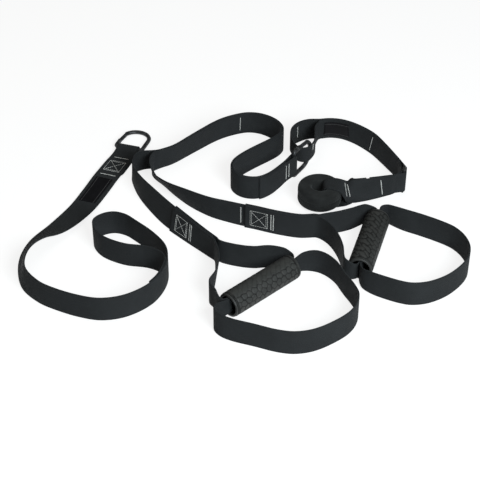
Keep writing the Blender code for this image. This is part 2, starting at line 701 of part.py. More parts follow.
def build():
    web = [paint(f"webbing_{k}", (0.025, 0.028, 0.032), 0.85) for k in range(9)]
    rubber = [paint(f"grip_rubber_{k}", (0.045, 0.043, 0.042), 0.7) for k in range(2)]
    plastic = [paint(f"tube_plastic_{k}", (0.02, 0.02, 0.02), 0.5) for k in range(2)]
    trim = [paint(f"ring_plastic_{k}", (0.12, 0.12, 0.12), 0.45) for k in range(4)]
    steel = [paint(f"gun_steel_{k}", (0.20, 0.21, 0.22), 0.35, 0.9) for k in range(4)]
    dark = [paint(f"pin_steel_{k}", (0.12, 0.12, 0.13), 0.4, 0.9) for k in range(2)]
    foam = paint("stop_foam", (0.03, 0.033, 0.035), 0.9)
    satin = [paint(f"label_satin_{k}", (0.02, 0.02, 0.025), 0.4) for k in range(2)]
    wire = paint("ring_steel", (0.10, 0.10, 0.11), 0.4, 0.8)
    layer = (WEB_THICK + LAYER_GAP) / 2
    link_side = LINK_INSIDE / 2 + ROD_R

    # Carabiner 1 lies down. Its base bar is in the anchor strap's eye, a strap's thickness up, and its
    # bow rests on the floor.
    bar_1 = Vector((*place(*LINK_1_SHARES), WEB_THICK + EYE_GAP + ROD_R))
    reach = LINK_BOW_V + link_side
    dip = math.asin((bar_1.z - ROD_R) / reach)
    frame_1 = (
        Matrix.Translation(bar_1)
        @ Matrix.Rotation(math.radians(LINK_1_TURN_DEG), 4, "Z")
        @ Matrix.Rotation(-dip, 4, "X")
    )
    link("carabiner_1", frame_1, steel[0], steel[1], dark[0])

    # Carabiner 2 stands on its side: its base bar is upright in the main strap's eye.
    bar_2 = Vector((*place(*LINK_2_SHARES), ROD_R + link_side))
    turn_2 = math.radians(LINK_2_TURN_DEG)
    out_2 = Vector((math.cos(turn_2), math.sin(turn_2), 0.0))
    down = Vector((0.0, 0.0, -1.0))
    frame_2 = Matrix.Translation(bar_2) @ Matrix((down, out_2, down.cross(out_2))).transposed().to_4x4()
    link("carabiner_2", frame_2, steel[2], steel[3], dark[1])
    eye_lift = bar_2.z - EYE_WIDTH / 2
    eye_r = ROD_R + EYE_GAP + WEB_THICK / 2

    # Main strap. Each webbing runs from its handle along a leg, then both run side by side to the eye.
    # The left one goes round the carabiner's bar and is sewn down over the right one's end.
    main = rows_from(MAIN_SHARES, eye_lift, EYE_WIDTH)
    bar = (bar_2.x, bar_2.y)
    arrive = math.atan2(bar[1] - main[-1][1], bar[0] - main[-1][0])
    wrap = math.radians(EYE_WRAP_DEG)
    eye = circle_rows(bar, eye_r, arrive + wrap, arrive - wrap, eye_lift, EYE_WIDTH)
    leg_1 = rows_from(LEG_1_SHARES)
    leg_2 = rows_from(LEG_2_SHARES)
    tail = first(turned(lane(main, -3 * layer)), TAIL_LENGTH)
    meet = SPREAD_SHARE * layer
    left = beyond(lane(leg_1, 0.0), END_GAP) + lane(main, meet)[:1] + lane(main, layer)[1:] + eye + tail
    strap("left_leg_webbing", thinned(stations(smooth(left, FINE)), twist=TIGHT_TWIST_SHARE), web[0])
    right = beyond(lane(leg_2, 0.0), END_GAP) + lane(main, -meet)[:1] + lane(main, -layer)[1:]
    strap("right_leg_webbing", thinned(stations(smooth(right, FINE))), web[1])

    # Handles: a grip on two loops of webbing, the yoke and the foot cradle.
    handles = [
        (leg_1, BRANCH_1A_SHARES, BRANCH_1B_SHARES, CRADLE_1_SHARES),
        (leg_2, BRANCH_2A_SHARES, BRANCH_2B_SHARES, CRADLE_2_SHARES),
    ]
    for k, (leg, branch_a, branch_b, cradle) in enumerate(handles):
        tag = f"handle_{k + 1}"
        (gx, gy), turn = GRIP_SHARES[k]
        centre = place(gx, gy)
        grip(tag, centre, turn, rubber[k], plastic[k], trim[2 * k : 2 * k + 2])
        over = SQUARE_WIDTH * TAIL_SHARE
        tail_a = turned(first(lane(leg, -2 * layer), over))
        tail_b = first(lane(leg, 2 * layer), over)
        stay = Vector((0.0, 0.0))
        point = Vector((math.cos(math.radians(turn)), math.sin(math.radians(turn))))
        longer = point * (GRIP_LENGTH / 2 - GRIP_HALF_SHARE * SQUARE_WIDTH)
        far = mouth_rows(centre, turn, 1, 1)
        near = mouth_rows(centre, turn, -1, 1)
        inside = [bore_row(centre, turn, along * GRIP_LENGTH / 2, layer) for along in BORE_SHARES]
        yoke = tail_a + carried(rows_from(branch_a), stay, longer) + far[::-1] + inside
        yoke += near + turned(carried(rows_from(branch_b), stay, -longer)) + tail_b
        yoke = thinned(stations(smooth(yoke, FINE)), twist=TIGHT_TWIST_SHARE)
        strap(f"{tag}_yoke", yoke, web[2 + k])
        half = GRIP_LENGTH / 2
        gap = EXIT_SHARE * SQUARE_WIDTH
        loop = [bore_row(centre, turn, along * half, -layer) for along in BORE_SHARES[::-1]]
        loop += [bore_row(centre, turn, half + gap, -layer)]
        loop += carried(rows_from(cradle, GRIP_R - BORE_WIDTH / 2, BORE_WIDTH), longer, -longer)
        loop += [bore_row(centre, turn, -half - gap, -layer)]
        loop = thinned(stations(smooth(loop, FINE, True), True), True)
        strap(f"{tag}_foot_cradle", loop, web[4 + k], closed=True)

    # Anchor strap: an eye on carabiner 1, a flat run, a twist on to its edge and a sewn hand loop.
    heading_1 = Matrix.Rotation(math.radians(LINK_1_TURN_DEG), 3, "Z")
    along_bar = heading_1 @ Vector((1.0, 0.0, 0.0))
    away = heading_1 @ Vector((0.0, 1.0, 0.0))
    under = []
    for out_share, up_share in ANCHOR_EYE_SHARES:
        centre = Vector((bar_1.x, bar_1.y, 0.0)) + away * out_share * eye_r
        centre.z = bar_1.z + up_share * eye_r
        under.append((centre, along_bar, EYE_WIDTH))
    run_rows = rows_from(ANCHOR_SHARES, WEB_THICK + LAYER_GAP, WEB_WIDTH)
    seam = lane(run_rows, 2 * layer)[round(3 * ANCHOR_SEAM[0]) : round(3 * ANCHOR_SEAM[1]) + 1]
    run = stations(smooth(run_rows + turned(seam), FINE))
    first_centre = run[0][0]
    lead = []
    low = []
    for share in ANCHOR_LEAD_SHARES:
        point = Vector((bar_1.x, bar_1.y, 0.0)).lerp(Vector((first_centre.x, first_centre.y, 0.0)), share)
        width = EYE_WIDTH + (WEB_WIDTH - EYE_WIDTH) * min(share * 2, 1.0)
        across = along_bar.lerp(run[0][1], share).normalized()
        top = first_centre.z + (bar_1.z + eye_r - first_centre.z) * max(0.0, 1 - share * 3.2) ** 2
        lead.append((Vector((point.x, point.y, top)), across, width))
        low.append((Vector((point.x, point.y, WEB_THICK / 2)), across, width))
    line = thinned(spun(low[::-1] + under + lead + run))
    anchor = strap("anchor_webbing", line, web[6])
    anchor_label = strap("anchor_label", patch(line, *ANCHOR_LABEL_SPAN, 1), satin[0], LABEL_THICK)
    pivot("anchor_pivot", bar_1, anchor, anchor_label)

    # Door strap: one closed loop of webbing round carabiner 2's bow and the rectangular ring's bar.
    ring_turn = math.radians(RING_TURN_DEG)
    ring_to = Vector((math.cos(ring_turn), math.sin(ring_turn), 0.0))
    ring_at = Vector((*place(*RING_SHARES), 0.0))
    half_pitch = RING_PITCH / 2
    bar_a = ring_at - ring_to * half_pitch
    bar_b = ring_at + ring_to * half_pitch
    tall = RING_INSIDE / 2 + RING_BAR_R
    ring_frame = Matrix.Translation(ring_at + Vector((0.0, 0.0, tall + RING_BAR_R)))
    ring_frame = ring_frame @ Matrix.Rotation(ring_turn, 4, "Z")
    ring_path = []
    for cx, cz, start in ((1, 1, 0), (-1, 1, 90), (-1, -1, 180), (1, -1, 270)):
        for k in range(RING_CORNER_STEPS + 1):
            a = math.radians(start + 90 * k / RING_CORNER_STEPS)
            x = cx * (half_pitch - RING_CORNER_R) + RING_CORNER_R * math.cos(a)
            z = cz * (tall - RING_CORNER_R) + RING_CORNER_R * math.sin(a)
            ring_path.append((x, 0.0, z))
    ring = rod("rectangular_ring", ring_path, RING_BAR_R, wire, closed=True)
    set_frame(ring, ring_frame)
    ring_lift = tall + RING_BAR_R - EYE_WIDTH / 2
    ring_eye_r = RING_BAR_R + EYE_GAP + WEB_THICK / 2
    door = rows_from(DOOR_SHARES, ring_lift, EYE_WIDTH)
    bow_lift = bar_2.z - BOW_LOOP_WIDTH / 2
    bow = bar_2 + out_2 * (LINK_BOW_V + link_side)
    bow_x = bow.x / SQUARE_WIDTH + ORIGIN_SHARES[0]
    bow_y = bow.y / SQUARE_WIDTH + ORIGIN_SHARES[1]
    bow_table = [(x + bow_x, y + bow_y, lean, pinch) for x, y, lean, pinch in BOW_LOOP_SHARES]
    bow_rows = rows_from(bow_table, bow_lift, BOW_LOOP_WIDTH)
    arrive = math.atan2(bar_a.y - door[-1][1], bar_a.x - door[-1][0])
    eye = circle_rows((bar_a.x, bar_a.y), ring_eye_r, arrive + wrap, arrive - wrap, ring_lift, EYE_WIDTH)
    loop = lane(door, layer) + eye + turned(lane(door, -layer)) + bow_rows
    loop = thinned(stations(smooth(loop, FINE, True), True), True, TIGHT_TWIST_SHARE)
    door_strap = strap("door_strap_webbing", loop, web[7], closed=True)
    door_label = strap("door_label", patch(loop, *DOOR_LABEL_SPAN, -1), satin[1], LABEL_THICK)
    pivot("door_strap_pivot", bow, door_strap, door_label)
    pivot("ring_pivot", bar_a, ring)

    # Door stop: a foam disc with the stop webbing through its hole and back beneath it.
    stop_at = Vector((*place(*STOP_SHARES), WEB_THICK + LAYER_GAP + STOP_HEIGHT / 2))
    half = STOP_HEIGHT / 2
    profile = []
    for cr, cz, start, radius in (
        (STOP_R - STOP_EDGE_R, half - STOP_EDGE_R, 90, STOP_EDGE_R),
        (STOP_R - STOP_EDGE_R, STOP_EDGE_R - half, 0, STOP_EDGE_R),
        (STOP_HOLE_R + STOP_HOLE_EDGE_R, STOP_HOLE_EDGE_R - half, -90, STOP_HOLE_EDGE_R),
        (STOP_HOLE_R + STOP_HOLE_EDGE_R, half - STOP_HOLE_EDGE_R, 180, STOP_HOLE_EDGE_R),
    ):
        steps = EDGE_STEPS
        for k in range(steps + 1):
            a = math.radians(start - 90 * k / steps)
            profile.append((cr + radius * math.cos(a), cz + radius * math.sin(a)))
    stop = screw("door_stop_disc", profile, foam)
    set_frame(stop, Matrix.Translation(stop_at))
    back = rows_from(RETURN_SHARES, ring_lift, EYE_WIDTH)
    leave = math.atan2(back[0][1] - bar_b.y, back[0][0] - bar_b.x)
    eye = circle_rows(
        (bar_b.x, bar_b.y), ring_eye_r, leave - math.pi + wrap, leave - math.pi - wrap, ring_lift, EYE_WIDTH
    )
    ring_tail = turned(first(lane(back, -layer), RING_TAIL_LENGTH))
    there = stations(smooth(ring_tail + eye[::-1] + lane(back, layer), FINE))
    side = Vector((0.0, -1.0, 0.0))
    over = stop_at.z + STOP_HEIGHT / 2 + STOP_GAP + WEB_THICK / 2
    stack = []
    for x_share, y_share, z_share, lean, width_share in STOP_PATH_SHARES:
        lean = math.radians(lean)
        across = Vector((0.0, 0.0, math.cos(lean))) + side * math.sin(lean)
        width = STOP_WEB_WIDTH + (WEB_WIDTH - STOP_WEB_WIDTH) * width_share
        x = stop_at.x + x_share * STOP_R
        y = stop_at.y + y_share * STOP_R
        stack.append((Vector((x, y, max(z_share * over, depth(across, width)))), across, width))
    sewn = stations(smooth(first(turned(lane(back, -layer)), STOP_TAIL_LENGTH), FINE))
    stop_webbing = strap("stop_webbing", thinned(spun(there + stack + sewn)), web[8])
    pivot("stop_pivot", bar_b, stop, stop_webbing)


build()
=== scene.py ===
"""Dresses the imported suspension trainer: webbing, sewing, labels, rubber grips, metal and the door stop."""

import json
import math

import bmesh
import bpy
from mathutils import Matrix, Vector

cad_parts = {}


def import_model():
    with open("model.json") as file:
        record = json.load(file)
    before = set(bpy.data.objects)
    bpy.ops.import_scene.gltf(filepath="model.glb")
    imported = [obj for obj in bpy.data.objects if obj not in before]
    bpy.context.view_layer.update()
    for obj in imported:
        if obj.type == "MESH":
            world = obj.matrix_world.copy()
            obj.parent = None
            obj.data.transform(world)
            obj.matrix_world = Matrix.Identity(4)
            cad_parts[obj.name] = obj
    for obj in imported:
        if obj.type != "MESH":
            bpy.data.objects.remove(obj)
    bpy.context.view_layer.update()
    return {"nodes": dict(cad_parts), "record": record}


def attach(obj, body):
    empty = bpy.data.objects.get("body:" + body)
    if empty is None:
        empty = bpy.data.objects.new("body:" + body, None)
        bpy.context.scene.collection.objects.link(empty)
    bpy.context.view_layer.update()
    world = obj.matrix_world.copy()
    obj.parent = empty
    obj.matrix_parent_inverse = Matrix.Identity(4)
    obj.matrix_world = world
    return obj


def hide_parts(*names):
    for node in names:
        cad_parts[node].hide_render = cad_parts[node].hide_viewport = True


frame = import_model()
NODES = frame["nodes"]
BODY_OF = {node: body for body, nodes in frame["record"]["behaviour"]["bodies"].items() for node in nodes}

# Lengths are in metres and angles in degrees where nothing else is said.

# The photograph's camera: pixels of focal length for the frame's width, its place and its aim
FRAME_PIXELS = 480
FOCAL_PIXELS = 1330
SENSOR = 36.0  # millimetres, as Blender counts it
CAMERA_AT = (-0.0035, -1.4866, 1.1451)
CAMERA_AIM = (-0.0035, -0.0209, 0.0)
CLIP_START = 0.05

# The studio: each lamp's name, place, watts, size and tint, the world's light on the object, and the floor
COOL = (0.90, 0.97, 1.0)
WARM = (1.0, 0.97, 0.89)
LAMPS = [
    ("key", (0.70, -1.35, 1.05), 30.0, 0.8, COOL),
    ("top", (-0.4, 0.3, 1.7), 4.5, 1.2, WARM),
]
WORLD_LIGHT = 0.13
FLOOR_HALF = 6.0
FLOOR_LEVEL = -0.0003
FLOOR_PAINT = (0.345, 0.355)
FLOOR_GLOW = 0.80

# Webbing: its size, the length of its mesh's steps, the steps of the curve between two cross-sections, its
# rounded edges, and the least way along a strap between two of its layers
WEB_THICK = 0.0018
WEB_HALF = 0.019
STEP = 0.003
SPAN_STEPS = 6
EDGE_ROUND = 0.0007
ROUND_MOST = 0.4  # of the thickness
EDGE_ANGLES = (67.5, 45.0, 22.5, -22.5, -45.0, -67.5)
FACE_SHARES = (-0.9, -0.7, -0.35, 0.0, 0.35, 0.7, 0.9)
LAYERS_APART = 0.05

# A webbing solid's edges: the least length of one across it, the most of one through its thickness, and how
# near two corners are one corner
RUNG_LEAST = 0.020
CLOSE = 0.0024
WELD = 0.000001

# The weave: half the chevrons' width, their slope, the pitches of ribs, yarns and edge rows, where the
# selvage begins and where its worn rim begins, from the strap's middle
CHEVRON = 0.0024
CHEVRON_SLOPE = 0.8
RIB_PITCH = 0.0014
YARN_PITCH = 0.0006
EDGE_PITCH = 0.0009
SELVAGE = (0.0168, 0.0174)
RIM = (0.0178, 0.0190)

# Straps: a point near each one's start, and for a closed one a point that it heads for from there, which
# settles the way round that it is walked
STRAP_STARTS = {
    "left_leg_webbing": (-0.033, -0.055, 0.02),
    "right_leg_webbing": (0.098, -0.012, 0.02),
    "handle_1_yoke": (-0.10, 0.0, 0.02),
    "handle_2_yoke": (0.05, -0.005, 0.02),
    "handle_1_foot_cradle": (0.024, -0.141, 0.02),
    "handle_2_foot_cradle": (0.1735, -0.0504, 0.02),
    "anchor_webbing": (-0.22, 0.13, 0.001),
    "door_strap_webbing": (0.235, 0.09, 0.02),
    "stop_webbing": (0.18, 0.08, 0.02),
}
STRAP_TOWARDS = {
    "handle_1_foot_cradle": (-0.04, -0.20, 0.0175),
    "handle_2_foot_cradle": (0.16, -0.10, 0.0175),
    "door_strap_webbing": (0.20, 0.10, 0.0223),
}

# Sewing: the thread, how many radii its middle stands proud, a stitch's form from end to end as shares of its
# length and radius and the radii that it is sunk, and how far behind a layer the next one is looked for
THREAD_R = 0.00032
THREAD_PROUD = 0.45
THREAD_SIDES = 6
STITCH_FORM = ((0.0, 0.35, 0.9), (0.14, 0.85, 0.25), (0.5, 1.0, 0.0), (0.86, 0.85, 0.25), (1.0, 0.35, 0.9))
STITCH_LENGTH = 0.0029
STITCH_PITCH = 0.0032
BAR_HALF = 0.0135
BAR_WIDTH = 0.0016
BAR_PITCH = 0.0008
BOX_HALF = 0.0125
BOX_INSET = 0.0022
SEAM_DEPTH = 0.004

# Seams. A bar: the strap, its side, how far along, across from and to, and how far along each of its ends is
# moved, because some bars are sewn a little aslant. A box: the strap, its side, and along from and to. The
# last word says where the seam's other face is: on the layer behind it, by that strap's name, on the strap's
# other end behind, on the same layer's back, or out of sight.
BARS = [
    ("anchor_webbing", 1, 0.1058, -0.0115, 0.0125, 0.0, "none"),
    ("anchor_webbing", 1, 0.1520, -0.0115, 0.0125, 0.0, "none"),
    ("right_leg_webbing", 1, 0.4650, -0.0118, 0.0125, 0.0, "left_leg_webbing"),
    ("left_leg_webbing", -1, 0.8171, -BAR_HALF, BAR_HALF, 0.0, "right_leg_webbing"),
    ("left_leg_webbing", -1, 0.8106, -BAR_HALF, BAR_HALF, 0.0, "right_leg_webbing"),
    ("left_leg_webbing", -1, 0.0830, -BAR_HALF, BAR_HALF, 0.0, "back"),
    ("right_leg_webbing", -1, 0.1010, -BAR_HALF, BAR_HALF, 0.0, "back"),
    ("handle_1_yoke", 1, 0.0405, -BAR_HALF, BAR_HALF, 0.0, "mirror"),
    ("handle_1_yoke", 1, 0.0440, -BAR_HALF, BAR_HALF, 0.0, "mirror"),
    ("handle_2_yoke", 1, 0.0395, -BAR_HALF, BAR_HALF, 0.0, "mirror"),
    ("handle_2_yoke", 1, 0.0430, -BAR_HALF, BAR_HALF, 0.0, "mirror"),
    ("door_strap_webbing", 1, 0.3630, -0.0085, 0.0110, 0.0, "back"),
    ("door_strap_webbing", -1, 0.2645, 0.0010, 0.0165, 0.0, "none"),
    ("door_strap_webbing", -1, 0.1050, -BAR_HALF, BAR_HALF, -0.0030, "back"),
    ("stop_webbing", -1, 0.1000, -BAR_HALF, BAR_HALF, 0.0018, "stop_webbing"),
    ("stop_webbing", -1, 0.1490, -0.0085, 0.0130, 0.0025, "stop_webbing"),
    ("stop_webbing", -1, 0.1545, -0.0085, 0.0130, 0.0025, "stop_webbing"),
]
BOXES = [
    ("anchor_webbing", 1, 0.1155, 0.1415, "none"),
    ("handle_1_yoke", 1, 0.0100, 0.0350, "mirror"),
    ("handle_2_yoke", 1, 0.0085, 0.0345, "mirror"),
]

# Label ribbons, how much longer than its CAD plate each is, and where its border's line lies
LABEL_THICK = 0.0006
LABEL_LIFT = 0.0004
LABEL_MORE = {"anchor_label": 0.013, "door_label": 0.0}
BORDER = 0.0098
BORDER_HALF = 0.0005

# Grips: each one's middle, heading, material slot, and how deep its leaves are pressed
GRIPS = {
    "handle_1_sleeve": ((0.024, -0.1409, 0.0175), 43.3, "grip_rubber_1", 0.35),
    "handle_2_sleeve": ((0.1735, -0.0504, 0.0175), 73.3, "grip_rubber_2", 1.0),
}
GRIP_R = 0.0175
GRIP_BORE = 0.0149
GRIP_LENGTH = 0.1114
GRIP_STEP = 0.0008
GRIP_LIP = 0.0009

# The moulded pattern: a groove's depth, half its floor's width and its slope's width, the plain rim at each
# end and its height, the waves that make the pattern uneven, and the least height of a cell and its spread
GROOVE = 0.0007
GROOVE_HALF = 0.00012
GROOVE_SLOPE = 0.00095
PLAIN_END = 0.0022
PLAIN_LAND = 0.6
WARP = 0.0006
WARP_ALONG = (520, 260, 1.0)
WARP_AROUND = (610, 300)
LAND_LEAST = 0.8
LAND_SPREAD = 0.2
CELL_MIX = (12.9898, 78.233, 43758.5453)

# The scales' pitch, the angle of their field's middle from the grip's top, and how far round it reaches;
# the leaves' length, width and slant, the share of their length that each row is shifted by, and their form
SCALE_PITCH = 0.0090
SCALES_MIDDLE = 71.0
SCALES_REACH = 0.0110
LEAF_LONG = 0.0220
LEAF_WIDE = 0.0066
LEAF_SLANT = -50.0
LEAF_SHIFT = 0.37
LEAF_TAPER = 0.35
LEAF_TIP = 0.6

# Hard pieces: how near two corners are one corner, the angle of a sharp edge, and how far it is eased
SAME_POINT = 0.000002
SHARP_ANGLE = 50.0
EASE = 0.0002

# Door stop: its disc, the steps of its mesh, and where its cover begins to give, out from the hole
STOP_MIDDLE = (0.1115, 0.0691)
STOP_LOW = 0.0023
STOP_HIGH = 0.0303
STOP_R = 0.032
STOP_HOLE_R = 0.0125
STOP_EDGE = 0.0058
STOP_HOLE_EDGE = 0.0034
STOP_STEP = 0.0011
STOP_AROUND = 220
STOP_SHARP = 80.0
GIVE_FROM = 0.004
GIVE_OVER = 0.008

# How the cover gives: its slow waves, each a count around, a phase in radians and a share, then their depth,
# and the waist seam's depth and width, and its puckers' count, depth and width
GIVE_WAVES = ((2, 0.6, 0.45), (3, 2.1, 0.3), (5, 0.4, 0.2))
GIVE = 0.00045
WAIST = 0.0007
WAIST_WIDE = 0.0011
PUCKERS = 46
PUCKER = 0.0002
PUCKER_WIDE = 0.0036


# ---- materials -------------------------------------------------------------------------------
class Look:
    """A node material with a Principled shader, and short calls for its nodes. colour and roughness are its
    plain values, under what the nodes paint."""

    def __init__(self, name, colour, roughness, metallic=0.0, specular=0.5):
        self.material = bpy.data.materials.new(name)
        self.material.use_nodes = True
        self.nodes = self.material.node_tree.nodes
        self.links = self.material.node_tree.links
        self.shader = self.nodes["Principled BSDF"]
        self.set("Base Color", (*colour, 1.0))
        self.set("Roughness", roughness)
        self.set("Metallic", metallic)
        self.set("Specular IOR Level", specular)

    def set(self, socket, value):
        """Gives one of the shader's own sockets a plain value."""
        self.shader.inputs[socket].default_value = value

    def wire(self, node, socket, value):
        """Feeds a node's socket from another socket or with a plain value."""
        target = node.inputs[socket]
        if isinstance(value, bpy.types.NodeSocket):
            self.links.new(value, target)
        else:
            target.default_value = value

    def math(self, operation, a, b=0.0, clamp=False):
        node = self.nodes.new("ShaderNodeMath")
        node.operation = operation
        node.use_clamp = clamp
        self.wire(node, 0, a)
        self.wire(node, 1, b)
        return node.outputs[0]

    def uv(self):
        """The UV place as a vector, its u and its v. They are metres along and across on every piece here."""
        node = self.nodes.new("ShaderNodeUVMap")
        node.uv_map = "UVMap"
        parts = self.nodes.new("ShaderNodeSeparateXYZ")
        self.links.new(node.outputs[0], parts.inputs[0])
        return node.outputs[0], parts.outputs[0], parts.outputs[1]

    def place(self):
        """The place on the object, in metres."""
        return self.nodes.new("ShaderNodeTexCoord").outputs["Object"]

    def noise(self, vector, scale, detail=2.0, rough=0.5):
        node = self.nodes.new("ShaderNodeTexNoise")
        self.wire(node, "Vector", vector)
        node.inputs["Scale"].default_value = scale
        node.inputs["Detail"].default_value = detail
        node.inputs["Roughness"].default_value = rough
        return node.outputs["Fac"]

    def wave(self, value, period):
        """0 to 1 and back, once in each period."""
        turned = self.math("MULTIPLY", value, 2 * math.pi / period)
        half = self.math("MULTIPLY", self.math("SINE", turned), 0.5)
        return self.math("ADD", half, 0.5)

    def remap(self, value, low, high, to_low, to_high):
        node = self.nodes.new("ShaderNodeMapRange")
        for socket, number in zip(("Value", "From Min", "From Max", "To Min", "To Max"),
                                  (value, low, high, to_low, to_high)):
            self.wire(node, socket, number)
        return node.outputs[0]

    def blend(self, share, first, second):
        node = self.nodes.new("ShaderNodeMix")
        node.data_type = "RGBA"
        self.wire(node, 0, share)
        for socket, colour in ((6, first), (7, second)):
            if isinstance(colour, tuple):
                node.inputs[socket].default_value = (*colour, 1.0)
            else:
                self.links.new(colour, node.inputs[socket])
        return node.outputs[2]

    def colour(self, value):
        self.links.new(value, self.shader.inputs["Base Color"])

    def roughness(self, value):
        self.links.new(value, self.shader.inputs["Roughness"])

    def bump(self, height, distance, strength=1.0, under=None):
        node = self.nodes.new("ShaderNodeBump")
        self.wire(node, "Height", height)
        node.inputs["Distance"].default_value = distance
        node.inputs["Strength"].default_value = strength
        if under is not None:
            self.links.new(under, node.inputs["Normal"])
        self.links.new(node.outputs[0], self.shader.inputs["Normal"])
        return node.outputs[0]


def webbing_look():
    """Black woven webbing: chevron ribs in columns, fine yarns, a close selvage and worn high spots, with a
    painted highlight on the ribs and painted shade in the gaps between them.
    """
    look = Look("webbing_black", (0.019, 0.021, 0.024), 0.7, specular=0.10)
    place, u, v = look.uv()
    zigzag = look.math("PINGPONG", look.math("ADD", v, 1.0), CHEVRON)
    ribs = look.wave(look.math("ADD", u, look.math("MULTIPLY", zigzag, CHEVRON_SLOPE)), RIB_PITCH)
    yarns = look.wave(v, YARN_PITCH)
    weave = look.math("ADD", look.math("MULTIPLY", ribs, 0.75), look.math("MULTIPLY", yarns, 0.25))
    side = look.math("ABSOLUTE", v)
    edge_rows = look.wave(u, EDGE_PITCH)
    mixed = look.nodes.new("ShaderNodeMix")
    look.wire(mixed, 0, look.remap(side, *SELVAGE, 0.0, 1.0))
    look.wire(mixed, 2, weave)
    look.wire(mixed, 3, look.math("MULTIPLY", edge_rows, 0.6))
    height = mixed.outputs[0]
    slow = look.noise(place, 26.0, 3.0)
    fuzz = look.noise(place, 900.0, 2.0, 0.7)
    # Painted highlight and painted shade: the ribs are lighter and the gaps between them darker, following
    # the weave's height.
    gap, rib_highlight = (0.0136, 0.0148, 0.0155), (0.0405, 0.0442, 0.0465)
    body = look.blend(look.remap(height, 0.0, 1.0, 0.0, 1.0), gap, rib_highlight)
    worn = look.blend(look.remap(slow, 0.42, 0.7, 0.0, 0.5), body, (0.0425, 0.0463, 0.049))
    look.colour(look.blend(look.remap(side, *RIM, 0.0, 0.5), worn, (0.032, 0.035, 0.038)))
    dull = look.remap(slow, 0.3, 0.7, 0.62, 0.78)
    look.roughness(look.math("ADD", dull, look.math("MULTIPLY", fuzz, 0.08)))
    look.set("Sheen Weight", 0.015)
    look.set("Sheen Roughness", 0.45)
    look.set("Sheen Tint", (0.55, 0.60, 0.66, 1.0))
    low = look.bump(fuzz, 0.0001, 0.35)
    look.bump(height, 0.00022, 0.7, low)
    return look.material


def thread_look():
    """Pale bonded polyester thread, twisted."""
    look = Look("thread_grey", (0.70, 0.70, 0.68), 0.55, specular=0.35)
    place = look.place()
    slow = look.noise(place, 160.0, 2.0)
    look.colour(look.blend(look.remap(slow, 0.35, 0.65, 0.0, 1.0), (0.60, 0.60, 0.58), (0.78, 0.78, 0.75)))
    look.roughness(look.remap(slow, 0.3, 0.7, 0.45, 0.65))
    look.bump(look.noise(place, 2600.0, 1.0), 0.0001, 0.5)
    return look.material


def metal_look(name, colour, bright, roughness):
    """Dark plated steel: fine rolling marks, small handling scuffs and paler rubbed spots."""
    look = Look(name, colour, roughness, 0.6, 0.3)
    place = look.place()
    slow = look.noise(place, 140.0, 3.0)
    scuffs = look.noise(place, 900.0, 3.0, 0.65)
    rubbed = look.remap(slow, 0.52, 0.66, 0.0, 1.0)
    marks = look.remap(scuffs, 0.60, 0.70, 0.0, 0.6)
    share = look.math("MAXIMUM", look.math("MULTIPLY", rubbed, 0.7), marks)
    look.colour(look.blend(share, colour, bright))
    look.roughness(look.math("ADD", look.remap(slow, 0.3, 0.7, roughness - 0.06, roughness + 0.08),
                             look.math("MULTIPLY", scuffs, 0.08)))
    look.bump(scuffs, 0.00004, 0.4)
    return look.material


def plastic_look(name, colour, roughness):
    """Moulded plastic with a fine spark-eroded grain and faint rubbing."""
    look = Look(name, colour, roughness, 0.0, 0.4)
    place = look.place()
    grain = look.noise(place, 1600.0, 2.0, 0.6)
    slow = look.noise(place, 90.0, 2.0)
    paler = tuple(min(c * 1.5, 1.0) for c in colour)
    look.colour(look.blend(look.remap(slow, 0.4, 0.7, 0.0, 0.6), colour, paler))
    look.roughness(look.remap(grain, 0.3, 0.7, roughness - 0.05, roughness + 0.1))
    look.bump(grain, 0.00005, 0.5)
    return look.material


def rubber_look():
    """Dark warm-grey moulded rubber, chalky on its high spots, with painted shade in the grooves."""
    look = Look("grip_rubber_dark", (0.030, 0.028, 0.027), 0.62, specular=0.4)
    node = look.nodes.new("ShaderNodeAttribute")
    node.attribute_name = "relief"
    relief = node.outputs["Fac"]
    place = look.place()
    bloom = look.noise(place, 120.0, 3.0)
    grain = look.noise(place, 2400.0, 2.0, 0.6)
    # Painted shade: the grooves are much darker than the lands, following the relief.
    groove_shade, land = (0.0022, 0.0024, 0.0022), (0.034, 0.036, 0.034)
    body = look.blend(look.remap(relief, 0.1, 0.9, 0.0, 1.0), groove_shade, land)
    look.colour(look.blend(look.remap(bloom, 0.42, 0.72, 0.0, 0.5), body, (0.048, 0.048, 0.045)))
    dull = look.remap(relief, 0.0, 1.0, 0.72, 0.52)
    look.roughness(look.math("ADD", dull, look.math("MULTIPLY", grain, 0.08)))
    look.bump(grain, 0.00006, 0.5)
    return look.material


def stop_look():
    """The door stop's close dark cover: short woven pile over foam."""
    look = Look("stop_cover", (0.020, 0.021, 0.022), 0.85, specular=0.25)
    place = look.place()
    pile = look.noise(place, 2200.0, 2.0, 0.7)
    slow = look.noise(place, 60.0, 3.0)
    deep, raised = (0.011, 0.012, 0.012), (0.023, 0.025, 0.025)
    look.colour(look.blend(look.remap(slow, 0.35, 0.7, 0.0, 1.0), deep, raised))
    look.roughness(look.remap(pile, 0.3, 0.7, 0.75, 0.95))
    look.set("Sheen Weight", 0.15)
    look.set("Sheen Roughness", 0.5)
    look.set("Sheen Tint", (0.5, 0.54, 0.55, 1.0))
    look.bump(pile, 0.0002, 0.6)
    return look.material


